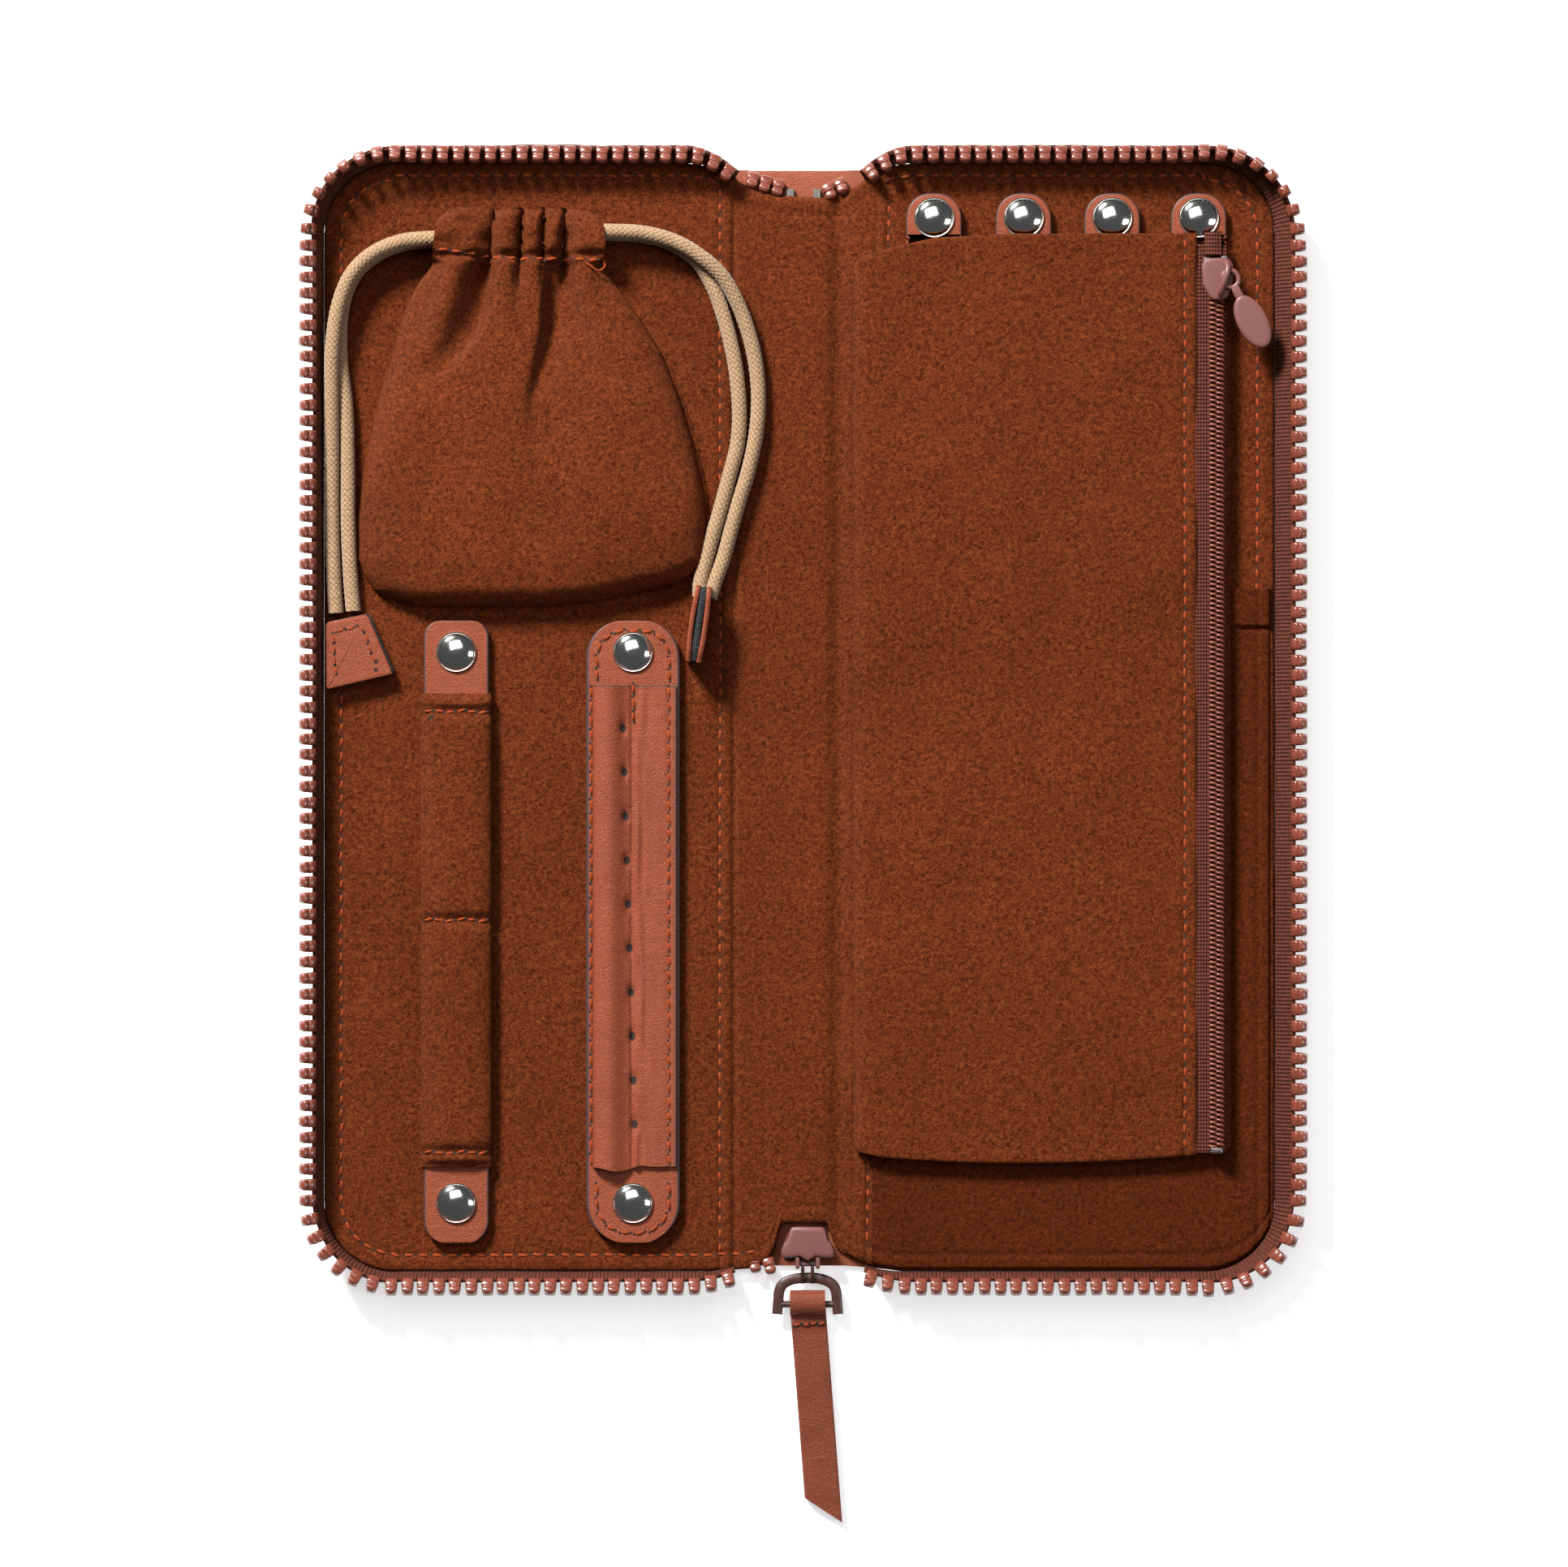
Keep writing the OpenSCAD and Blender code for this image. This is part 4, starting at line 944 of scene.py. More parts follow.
def valley(x, y, points, left, right):
    """Depth of one fold: measured across from its line, steeper on its narrow side."""
    py = np.array([p[1] for p in points])[::-1]
    line_x = np.interp(y, py, np.array([p[0] for p in points])[::-1])
    depth = np.interp(y, py, np.array([p[2] for p in points])[::-1])
    depth = depth * np.where(y < py[0], 0, 1)
    d = x - line_x
    spread = 1 + 0.9 * np.clip((88 - y) / 30, 0, 1)
    return depth * np.where(d < 0, bell(d, left * spread), bell(d, right * spread))


def pouch_height(x, y, t):
    """Top of the pouch's cloth; t runs from 0 at its left edge to 1 at its right."""
    up = np.clip((y - 22.2) / 67.8, 0, 1)
    crown = np.interp(up, [0, 0.12, 0.3, 0.6, 0.85, 1], [5.0, 6.8, 7.6, 7.6, 7.0, 6.2])
    crown = crown * (1 - 0.07 * waves(x, y, 60, 31))
    side = np.clip(1 - np.abs(2 * t - 1) ** 6, 0, 1) ** 0.5
    low_x = np.array([-80, -76, -50, -40, -33, -27, -23, -20.4])
    bottom = np.interp(x, low_x, [23.2, 22, 22, 22.8, 24.2, 25.6, 26.8, 28.2])
    foot = rounded((y - bottom + 0.25) / 4.2)
    z = PANEL_Z + 0.5 + crown * side * foot
    folds = sum(valley(x, y, *fold) for fold in FOLDS)
    ridge = (
        1.1 * bell(x + 57.0, 3.0) * smooth_step((y - 66) / 18)
        + 1.6 * bell(x + 69 - 0.22 * (y - 84), 3.0) * smooth_step((y - 64) / 16)
    )
    ridge = ridge + 1.1 * bell(x + 42.2, 2.6) * smooth_step((y - 72) / 14)
    z = np.maximum(z + (ridge - folds) * side * foot, PANEL_Z + 0.5)
    z = z + side * (0.3 * waves(x, y, 27, 32) + 0.08 * waves(x, y, 9, 33)) * np.clip((96 - y) / 20, 0.2, 1)
    # the gathered collar: rounded lobes with dark gaps between them
    shift = x - 0.05 * (y - 94)
    q = np.interp(shift, *LOBE_PLACES)
    lobe = np.clip(1 - np.abs(q) ** 2.6, 0, 1) ** 0.6
    falling = smooth_step((y - 81) / 9)
    z = z + (1.7 * lobe - 1.0) * falling * side
    collar = smooth_step((y - 88.2) / 2.2)
    lobes = PANEL_Z + 3.6 + (3.4 + 0.5 * bell(y - 95, 3)) * lobe + 0.3 * waves(x, y, 6, 34)
    lobes = lobes - 1.0 * bell(y - 90.4, 0.9) - 1.6 * smooth_step((y - 97.6) / 2.3) ** 2
    return z * (1 - collar) + lobes * collar


ys = edge_spread(21.8, 99.9, 340, extra=(23, 25, 90.4))
ts = edge_spread(0, 68, 260, extra=(20, 28, 33)) / 68
py = np.repeat(ys[None, :], len(ts), 0)
left_x = np.interp(ys, *np.array(POUCH_LEFT).T)
right_x = np.interp(ys, *np.array(POUCH_RIGHT).T)
px = left_x[None, :] + (right_x - left_x)[None, :] * ts[:, None]
top_round = 2.6 * (np.abs(2 * ts - 1) ** 9)
pouch_t = np.repeat(ts[:, None], len(ys), 1)
pz = pouch_height(px, py, pouch_t)
ragged = np.interp(
    px[:, -1], [-72, -60.8, -59, -54.6, -52, -50.2, -48, -46.3, -44, -38],
    [0, 0.1, -0.7, 0.1, -0.6, 0.2, -0.5, 0, -0.4, -0.6]
)
py = py + (ragged - top_round)[:, None] * smooth_step((py - 92) / 7)
pouch = slab(
    "pouch", px, py, pz, np.maximum(pz - 0.7, PANEL_Z + 0.05), SUEDE_WARM, body="left_cover", slot="suede",
    replaces=("pouch_body", "pouch_collar"), sharp=75,
)


def pouch_at(x, y):
    """Height of the pouch at a point."""
    a, b = np.interp(y, *np.array(POUCH_LEFT).T), np.interp(y, *np.array(POUCH_RIGHT).T)
    return float(pouch_height(np.array(x), np.array(y), np.array((x - a) / (b - a))))


# the pouch's back layer shows a little outside its sides
back_y = np.linspace(27, 87, 90)
back_cols = np.linspace(0, 1, 12)[:, None]
back_left = np.interp(back_y, *np.array(POUCH_LEFT).T) - 0.1
back_right = np.interp(back_y, *np.array(POUCH_RIGHT).T) + 0.7
back_x = back_left + (back_right - back_left) * back_cols
slab(
    "pouch_back", back_x, back_y[None, :] + 0 * back_x, 3.62 + 0 * back_x, 3.24, SUEDE, body="left_cover", slot="suede"
)

channel = [(-71, 91.6), (-66, 91.1), (-61.6, 90.2), (-57, 89.8), (-52, 89.6), (-47.5, 89.7), (-43, 89.6), (-39, 89.4)]
stitches("pouch_channel_stitches", channel, lambda x, y: pouch_at(x, y) + 0.02, "left_cover", seed=41, pitch=2.6)
loop_line, _ = resample(
    [(-42.6, 89.6, 9.0), (-41, 88.4, 9.6), (-39.4, 87.4, 9.2), (-38.2, 88.2, 8.4), (-38.4, 90, 7.8)], 0.3
)
add_piece("pouch_thread_loop", *ring_parts(tube_rings(loop_line, 0.2, 7)), THREAD, body="left_cover")

# ---------------------------------------------------------------- ends of the drawcords
leather_bits = Pieces()
END_Z = 3.4
left_end = [
    (-92.6, 5.4), (-79.8, 8.4), (-80.2, 9.6), (-84.5, 19.6), (-85.2, 20.2), (-92.4, 18.7), (-93, 18.2), (-92.9, 6)
]
for z, t in ((END_Z, 0.9), (END_Z + 2.1, 1.0)):
    verts, faces, ids = plate_parts(left_end, z, z + t, 0.3)
    leather_bits.add(verts, faces, ids)
cord_end_left = leather_bits.make(
    "cord_tab_left", [LEATHER, EDGE], body="left_cover", slot="strap_leather", replaces=("cord_end_left",)
)
u_path = [
    (-90.9, 8.2), (-91.2, 12), (-91.4, 16.2), (-90.4, 16.9), (-88, 17.4), (-86.2, 17.6), (-85.2, 16.2), (-84.2, 13),
    (-83.2, 10.4)
]
stitches("cord_tab_left_stitches", u_path, END_Z + 3.1, "left_cover", seed=42, pitch=2.1, thread=1.6, radius=0.2)
# painted shade: two dark discs in the hole-shade colour on the tab
dots = Pieces()
for x, y in ((-83, 10.9), (-83.1, 9.3)):
    dots.add(*disc_parts(x, y, END_Z + 3.12, 0.42, 0.4))
dots.make("cord_tab_left_dots", HOLE_SHADE, body="left_cover")


def standing_plate(off, t, mats, name, grow=0.0, height=8.6, wave=0.0, **options):
    """One layer of the right-hand tab, which stands on its edge, a little bowed."""
    long = 15.0 + grow
    u = np.linspace(-grow / 2, long - grow / 2, 40)
    a = math.radians(-98)
    rings = []
    corner = 2.2
    for k in u:
        cut = max(0.0, corner - min(k + grow / 2, long - grow / 2 - k))
        drop = 0.35 * cut
        bow = wave * math.sin(math.pi * k / 15)
        top = height - drop
        section = [
            (off + bow, 0), (off + t + bow, 0), (off + t + bow, top - 0.25), (off + t * 0.5 + bow, top),
            (off + bow, top - 0.25)
        ]
        rings.append([
            (-18.7 + k * math.cos(a) - o * math.sin(a), 25.6 + k * math.sin(a) + o * math.cos(a), END_Z + z) for o,
            z in section
        ])
    verts, faces = ring_parts(rings)
    return add_piece(name, verts, faces, mats, body="left_cover", **options)


cord_end_right = standing_plate(
    0.6, 0.9, LEATHER, "cord_tab_right", slot="strap_leather", replaces=("cord_end_right",), wave=0.25
)
standing_plate(-1.5, 0.9, LEATHER, "cord_tab_right_back", slot="strap_leather", wave=-0.35)
standing_plate(-0.6, 1.2, FELT, "cord_tab_right_core", grow=-0.4, height=8.3, slot="felt")
verts, faces, _ = plate_parts(inset(left_end, 0.1), END_Z + 0.9, END_Z + 2.1, 0.2)
core_shift = [0.35, 0.25, 0]
add_piece(
    "cord_tab_left_core", verts + core_shift, faces, FELT, body="left_cover", slot="felt", replaces=("cord_end_cores",)
)

# ---------------------------------------------------------------- snap caps
CAP_R, CAP_T = 4.0, 1.6


def cap_parts(x, y, z, n=48):
    """A domed cap with a fine rolled rim."""
    profile = [(CAP_R - 0.5, 0), (CAP_R - 0.05, 0.05), (CAP_R, 0.28), (CAP_R - 0.12, 0.5), (CAP_R - 0.3, 0.5)]
    profile += [
        (
            (CAP_R - 0.35) * math.cos(t), 0.46 + (CAP_T - 0.46) * math.sin(t) ** 1.1
        ) for t in np.linspace(0, math.pi / 2, 14)[:-1]
    ]
    a = around(n)
    return ring_parts([np.column_stack([x + r * np.cos(a), y + r * np.sin(a), np.full(n, z + h)]) for r, h in profile])


def socket_parts(x, y, z0, z1, n=24):
    a = around(n)
    return ring_parts([np.column_stack([x + 3 * np.cos(a), y + 3 * np.sin(a), np.full(n, z)]) for z in (z0, z1)])


STRAP_Z, STRAP_TOP = 3.9, 5.3
RING_X, EARRING_X = -67.4, -32.7
RING_W, EARRING_W = 12.8, 18.4
CAP_Y, LOW_CAP_Y, HINGE_Y, BAR_TOP, BAR_LOW = 12.8, -95.4, -90.6, 19.0, -103.4


def snap(name, spots, top, body, replaces):
    bits = Pieces()
    for x, y in spots:
        bits.add(*cap_parts(x, y, top))
        bits.add(*socket_parts(x, y, PANEL_Z + 0.35, STRAP_Z))
    return bits.make(name, NICKEL, body=body, slot="nickel", replaces=replaces, sharp=50)


snap("caps_lower", [(RING_X, LOW_CAP_Y), (EARRING_X, LOW_CAP_Y)], STRAP_TOP, "left_cover", ("anchor_snaps",))
snap("cap_ring_bar", [(RING_X, CAP_Y)], STRAP_TOP, "ring_bar", ("ring_bar_snap",))
snap("cap_earring_bar", [(EARRING_X, CAP_Y)], STRAP_TOP, "earring_bar", ("earring_bar_snap",))


def strap(name, x, w, y0, y1, r0, r1, replaces):
    """A leather strap with dark painted edges, made as one piece with closer rows round the bar's hinge."""
    ys = edge_spread(y0, y1, 260, run=6, extra=(HINGE_Y, HINGE_Y + 3))
    half = np.full(len(ys), w / 2)
    low, high = np.clip(r0 - (ys - y0), 0, r0), np.clip(r1 - (y1 - ys), 0, r1)
    half = half - (r0 - np.sqrt(r0 * r0 - low * low)) - (r1 - np.sqrt(r1 * r1 - high * high))
    u = np.concatenate([[-1, -0.985, -0.965], np.linspace(-0.94, 0.94, 24), [0.965, 0.985, 1]])
    gx = x + u[:, None] * half[None, :]
    gy = np.repeat(ys[None, :], len(u), 0)
    edge = np.minimum(half[None, :] - np.abs(gx - x), np.minimum(gy - y0, y1 - gy))
    top = STRAP_TOP - 0.3 * (1 - rounded(edge / 0.4))
    verts, faces, ids, uvs = slab_parts(gx, gy, top, STRAP_Z, 1)
    ids = np.array(ids)
    n, m = gx.shape
    rim = np.ones((n - 1, m - 1), dtype=int)
    rim[3:-3, 1:-1] = 0
    ids[: (n - 1) * (m - 1)] = rim.ravel()
    obj = add_piece(name, verts, faces, [LEATHER, EDGE], slot="strap_leather", replaces=replaces, ids=ids, uvs=uvs)
    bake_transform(obj)
    return obj


strap("ring_strap", RING_X, RING_W, BAR_LOW, BAR_TOP, 4.6, 3.4, ("ring_bar_anchor", "ring_bar_strap"))
strap(
    "earring_strap", EARRING_X, EARRING_W, BAR_LOW, BAR_TOP, 8.1, 7.4, ("earring_bar_anchor", "earring_bar_strap"),
)

# ---------------------------------------------------------------- ring bar: a padded suede cover
RING_Y0, RING_Y1 = -88.2, 4.6
PINCHES = (1.1, -39.8, -85.4)


def ring_cover_height(x, y):
    """Top of the ring bar's cover; x is measured from its middle."""
    pinch = sum(bell(y - p, 1.3) for p in PINCHES)
    half = 6.9 - 0.25 * pinch
    dome = np.sqrt(np.clip(1 - (np.abs(x) / (half + 0.15)) ** 2.2, 0, 1))
    rise = (2.75 - 1.1 * pinch) * (1 + 0.05 * waves(x, y, 18, 51))
    ends = smooth_step((RING_Y1 - y) / 2.2) * smooth_step((y - RING_Y0) / 2.0)
    return STRAP_TOP + 0.1 + rise * dome * (0.35 + 0.65 * ends) + 0.05 * waves(x, y, 5, 52)


cols = np.sin(np.linspace(-math.pi / 2, math.pi / 2, 60)) * 6.95
rows = edge_spread(RING_Y0, RING_Y1, 300, extra=PINCHES)
gx, gy = np.meshgrid(cols, rows, indexing="ij")
wide = 1 - 0.035 * sum(bell(gy - p, 1.2) for p in PINCHES)
top = np.where(np.abs(gx) > 6.9, STRAP_Z - 0.3, ring_cover_height(gx, gy))
ring_cover = slab(
    "ring_bar_roll", RING_X + gx * wide, gy, top, 3.45, SUEDE_WARM, body="ring_bar", slot="suede",
    replaces=("ring_bar_cover", "ring_bar_core"), sharp=80,
)
bits = Pieces()
for k, y in enumerate(PINCHES):
    across = [(RING_X + x, y + 0.2 * math.sin(x)) for x in np.linspace(-6.3, 6.3, 12)]
    stitches("", across, lambda x, y: at_point(ring_cover_height, x - RING_X, y) + 0.02, None, seed=60 + k,
             pieces=bits, pitch=2.2, thread=1.9, radius=0.26)
# painted shade: two dark ellipses in the hole-shade colour on the roll's cover
for x, y in ((-72.2, -0.2), (-69.4, -86.6)):
    bits.add(*disc_parts(x, y, 7.2, 0.75, 0.5, 0.4), 1)
bits.make("ring_bar_stitches", [THREAD, HOLE_SHADE], body="ring_bar")

# ---------------------------------------------------------------- earring bar: a rolled leather flap
FLAP_Y0, FLAP_Y1 = -88.2, 6.2
ROLL_LEFT, ROLL_MID, ROLL_END, FLAP_RIGHT = -7.9, -4.7, -0.3, 8.5
EARRING_HOLES = [(-1.9 + 0.25 * i, -2.2 - 8.64 * i) for i in range(10)]


def flap_height(x, y):
    """Top of the flap; x is measured from the bar's middle."""
    base = STRAP_TOP + 0.9
    roll = 1.8 * np.where(
        x < ROLL_MID, np.sqrt(np.clip(1 - ((x - ROLL_MID) / (ROLL_LEFT - ROLL_MID)) ** 2, 0, 1)),
        0.5 + 0.5 * np.cos(math.pi * np.clip((x - ROLL_MID) / (ROLL_END + 0.03 * (y + 40) / 40 - ROLL_MID), 0, 1)),
    )
    z = base + roll
    flat = smooth_step((x - ROLL_END) / 0.8)
    wrinkle = (0.03 + 0.12 * bell(x - 1.2, 1.5)) * waves(x * 3.2, y * 0.55, 9, 61)
    z = z + flat * wrinkle * smooth_step((FLAP_RIGHT - x) / 2) - 0.35 * bell(x - ROLL_END - 0.15, 0.45)
    z = z - 0.16 * bell(x - 7.1, 0.5)
    dent = sum(0.55 * bell(x - hx, 0.75) * bell(y - hy, 1.5) for hx, hy in EARRING_HOLES)
    return z - dent + 0.03 * waves(x, y, 12, 63)


def flap_end(x):
    """The lower end hangs a little lower round the roll."""
    return FLAP_Y0 - 0.9 * bell(x + 3, 3.0) + 0.3 * bell(x - 1.5, 1.2)


cols = edge_spread(ROLL_LEFT, FLAP_RIGHT, 110, extra=(-1.9, -0.3, 0.3, 7.1))
rows_t = np.linspace(0, 1, 420)
gx = np.repeat(cols[:, None], len(rows_t), 1)
low = flap_end(cols)[:, None]
gy = low + (FLAP_Y1 + 0.25 * bell(gx - 0.4, 0.6) - low) * rows_t
verts, faces, ids, uvs = slab_parts(EARRING_X + gx, gy, flap_height(gx, gy), STRAP_TOP, 1)
mid_x, mid_y = (gx[1:, 1:] + gx[:-1, :-1]) / 2, (gy[1:, 1:] + gy[:-1, :-1]) / 2
marks = ((mid_x > FLAP_RIGHT - 0.32) | (mid_y > FLAP_Y1 - 0.3)).astype(int)
# painted shade: each earring hole is a dark ellipse in the hole-shade colour on its dent, standing in for the shade
# inside the hole
for hx, hy in EARRING_HOLES:
    marks[((mid_x - hx) / 0.62) ** 2 + ((mid_y - hy) / 0.85) ** 2 < 1] = 2
ids[: marks.size] = marks.ravel().tolist()
add_piece(
    "earring_flap", verts, faces, [LEATHER, EDGE, HOLE_SHADE], body="earring_bar", slot="strap_leather", ids=ids, uvs=uvs,
    replaces=("earring_bar_flap",), sharp=50,
)


def earring_perimeter(inner):
    """The stitched outline of the earring bar's strap, from its left foot up and round to its right foot."""
    half = EARRING_W / 2 - inner
    r = 7.4 - inner
    cx = EARRING_X
    left = [(cx - half, y) for y in np.linspace(FLAP_Y1 + 1, BAR_TOP - 7.4, 5)]
    top = quarter(cx - half + r, BAR_TOP - 7.4, -r, r, 7) + quarter(cx + half - r, BAR_TOP - 7.4, r, r, 7, swap=True)
    return left + top + [(cx + half, y) for y in np.linspace(BAR_TOP - 8, FLAP_Y1 + 0.6, 5)]


bits = Pieces()
stitches("", earring_perimeter(2.1), STRAP_TOP + 0.04, None, seed=70, pieces=bits)
side_right = [(EARRING_X + 7.1, y) for y in np.linspace(FLAP_Y1, FLAP_Y0, 30)]
side_left = [(EARRING_X - 8.2, y) for y in np.linspace(FLAP_Y1, FLAP_Y0, 30)]
stitches("", side_right, lambda x, y: at_point(flap_height, x - EARRING_X, y), None, seed=71, pieces=bits)
stitches("", side_left, STRAP_TOP + 0.04, None, seed=72, pieces=bits)
middle = [(EARRING_X + 0.1, y) for y in np.linspace(FLAP_Y1 + 0.6, FLAP_Y1 - 7.5, 6)]
stitches("", middle, lambda x, y: STRAP_TOP + 1.0, None, seed=73, pieces=bits, pitch=2.4)
bits.make("earring_bar_stitches", [THREAD, HOLE_SHADE], body="earring_bar")
half = EARRING_W / 2 - 2.1
r = 8.1 - 2.1
cy = BAR_LOW + 8.1
foot = [(EARRING_X - half, y) for y in np.linspace(HINGE_Y - 0.6, cy, 4)]
foot += quarter(EARRING_X - half + r, cy, -r, -r, 8) + quarter(EARRING_X + half - r, cy, r, -r, 8, swap=True)
foot += [(EARRING_X + half, y) for y in np.linspace(cy + 1, HINGE_Y - 0.6, 4)]
stitches("earring_anchor_stitches", foot, STRAP_TOP + 0.04, "left_cover", seed=74)

# ---------------------------------------------------------------- slip pocket
SLIP_TOP, HEM_LOW, SLIP_X1 = 25.4, 17.4, 92.5


def slip_low(x):
    return np.maximum(lining_low(x) + 0.5, -108.6)


xs = edge_spread(14.2, SLIP_X1, 150, extra=(SEAM_X,))
t_rows = edge_spread(0, 134, 230, extra=(126, 134)) / 134
gx = np.repeat(xs[:, None], len(t_rows), 1)
gy = slip_low(xs)[:, None] + (SLIP_TOP + 0.15 * waves(xs, 0 * xs, 30, 80)[:, None] - slip_low(xs)[:, None]) * t_rows


def slip_height(x, y):
    z = 3.84 + 0.05 * waves(x, y, 33, 81) + 0.55 * smooth_step((y - HEM_LOW) / 0.9)
    z = z - 0.3 * bell(y - HEM_LOW + 0.1, 0.45) + 0.1 * bell(y - 21.4, 2.6)
    edge = np.minimum(SLIP_X1 - x, np.minimum(SLIP_TOP + 0.2 - y, y - slip_low(x)))
    z = z - 0.7 * (1 - rounded(edge / 0.9))
    return z - 0.28 * bell(x - SEAM_X, 0.6) - 0.28 * bell(y - slip_low(x) - 2.9, 0.6)


slip = slab(
    "slip_panel", gx, gy, slip_height(gx, gy), 3.22, SUEDE_DEEP, body="right_cover", slot="suede",
    replaces=("slip_pocket", "slip_pocket_hem"), sharp=75,
)

# ---------------------------------------------------------------- necklace tabs
TAB_X = (26.4, 44.0, 61.4, 78.4)
TAB_W, TAB_HINGE_Y, TAB_TOP_Y, TAB_TOP_Z, TAB_CAP_Y = 10.9, 93.8, 102.9, 5.1, 98.1
bases = Pieces()
for k, x in enumerate(TAB_X):
    bases.add(*plate_parts(strap_outline(x, TAB_W, 84.6, 93.6, 0.02, 0.02), PANEL_Z, 4.4, 0.2))
    bits = Pieces()
    bits.add(
        *plate_parts(strap_outline(x, TAB_W, TAB_HINGE_Y + 0.2, TAB_TOP_Y, 0.02, 4.8), STRAP_Z, TAB_TOP_Z, 0.28, dark=3)
    )
    bits.make(
        f"tab_{k + 1}", [LEATHER, EDGE], body=f"necklace_tab_{k + 1}_body", slot="strap_leather",
        replaces=(f"necklace_tab_{k + 1}",),
    )
    snap(f"tab_cap_{k + 1}", [(x, TAB_CAP_Y)], TAB_TOP_Z, f"necklace_tab_{k + 1}_body", (f"necklace_snap_{k + 1}",))
bases.make("tab_bases", [LEATHER, EDGE], body="right_cover", slot="strap_leather", replaces=("necklace_tab_bases",))

# ---------------------------------------------------------------- page pocket
PAGE_Z, FRONT_X0, FRONT_SEAM_X, FRONT_X1, ZIP_X = 4.8, 10.6, 75.6, 77.9, 81.8


def page_top(x):
    return np.interp(
        x, [9, 11, 12.6, 18.4, 26.4, 36, 42, 78, 90], [86.4, 89.2, 90.4, 92.2, 94.0, 94.5, 94.8, 94.9, 94.9]
    )


def page_low(x):
    line = np.interp(x, [9, 10.5, 12, 16], [3.2, 1.4, 0.6, 0])
    return line - 85.2 - 2.4 * np.sin(math.pi * np.clip((x - 4) / 80, 0, 1)) ** 0.8


def page_height(x, y):
    """Top of the page's front sheet: a soft pillow that lies over the caps."""
    z = 7.0 + 0.22 * waves(x, y, 48, 91) + 0.08 * waves(x, y, 19, 92)
    over_caps = sum(bell(x - c, 5.0) for c in TAB_X[1:]) * smooth_step((y - 89) / 5)
    z = z + 0.25 * smooth_step((y - 86) / 8) + 0.18 * over_caps
    z = z - 1.9 * (1 - rounded((x - FRONT_X0) / 3.4))
    ends = np.minimum(page_top(x) - y, y - page_low(x))
    z = z - 0.45 * (1 - rounded(ends / 0.9))
    z = (
        z - 0.3 * bell(x - FRONT_SEAM_X, 0.55) + 0.1 * bell(x - 76.9, 0.7)
        - 0.35 * (1 - np.clip((FRONT_X1 - x) / 0.6, 0, 1)) ** 2
    )
    return z


xs = edge_spread(FRONT_X0, FRONT_X1, 170, extra=(FRONT_SEAM_X, 77.5))
t_rows = edge_spread(0, 180, 400) / 180
gx = np.repeat(xs[:, None], len(t_rows), 1)
gy = page_low(xs)[:, None] + (page_top(xs) - page_low(xs))[:, None] * t_rows
front_low = np.where(gy > 91.4, page_height(gx, gy) - 0.35, np.minimum(page_height(gx, gy) - 0.6, 6.1))
front = slab(
    "page_front_sheet", gx, gy, page_height(gx, gy), front_low, SUEDE, body="page_pocket", slot="suede",
    replaces=("page_front",), sharp=75,
)
xs = np.linspace(11.4, 84.6, 50)
t_rows = np.linspace(0, 1, 60)
gx = np.repeat(xs[:, None], 60, 1)
gy = page_low(xs)[:, None] + 0.6 + (91.6 - page_low(xs)[:, None] - 0.6) * t_rows
back = slab(
    "page_back_sheet", gx, gy, 5.5 + 0 * gx, PAGE_Z, SUEDE, body="page_pocket", slot="suede", replaces=("page_back",)
)
page_bits = Pieces()
down = [(FRONT_SEAM_X, y) for y in np.linspace(94, -85, 60)]
stitches("", down, lambda x, y: at_point(page_height, x, y), None, seed=90, pieces=page_bits, slant=4)
page_bits.make("page_stitches", [THREAD, HOLE_SHADE], body="page_pocket")

tape_bits = Pieces()
ty = np.linspace(-85.4, 92.5, 260)
for x0, x1 in ((77.2, 81.2), (82.2, 83.7)):
    tx = np.linspace(x0, x1, 9)
    gx, gy = np.meshgrid(tx, ty, indexing="ij")
    verts, faces, _, uvs = slab_parts(gx, gy, 6.72 + 0.03 * waves(gx, gy, 9, 95), 6.32)
    tape_bits.add(verts, faces, 0, uvs)
tx, tty = np.linspace(79.4, 82.8, 12), np.linspace(90.6, 95.2, 16)
gx, gy = np.meshgrid(tx, tty, indexing="ij")
verts, faces, _, uvs = slab_parts(gx, gy, 7.6 - 0.5 * ((gx - 81.1) / 1.7) ** 2 + 0.1 * waves(gx, gy, 3, 96), 6.6)
tape_bits.add(verts, faces, 0, uvs)
tape_bits.make("page_tapes", TAPE, body="page_pocket", slot="zip_tape", replaces=("page_zip_tapes",))

coil_bits = Pieces()
COIL_PITCH = 0.95
for x_mid, phase, low_y, high_y in (
    (ZIP_X - 0.62, 0.0, -84.6, 82.5), (ZIP_X + 0.62, 0.5, -84.6, 82.5), (ZIP_X - 0.8, 0, 82.5, 88.6),
    (ZIP_X + 0.9, 0.5, 82.5, 88.6)
):
    turns = (high_y - low_y) / COIL_PITCH
    a = np.linspace(0, 2 * math.pi * turns, int(turns * 12))
    line = np.column_stack([
        x_mid + 0.72 * np.cos(a), low_y + COIL_PITCH * (a / (2 * math.pi) + phase) + 0.12 * np.sin(a),
        7.35 + 0.42 * np.sin(a)
    ])
    coil_bits.add(*ring_parts(tube_rings(line, 0.27, 6)))
coil_bits.make("page_coils", COIL, body="page_pocket", slot="coil_nylon", replaces=("page_zip_coils",), sharp=80)
stops = Pieces()
for x0, x1, y0, y1 in ((79.1, 80.7, 88.2, 90.1), (82.6, 84, 88.8, 90.4), (80.6, 83, -85.6, -84.4)):
    stops.add(*plate_parts(strap_outline((x0 + x1) / 2, x1 - x0, y0, y1, 0.3, 0.3, 4), 6.7, 8.0, 0.25))
stops.make("page_stops", [STOP, STOP], body="page_pocket", slot="stop_metal", replaces=("page_zip_stops",))

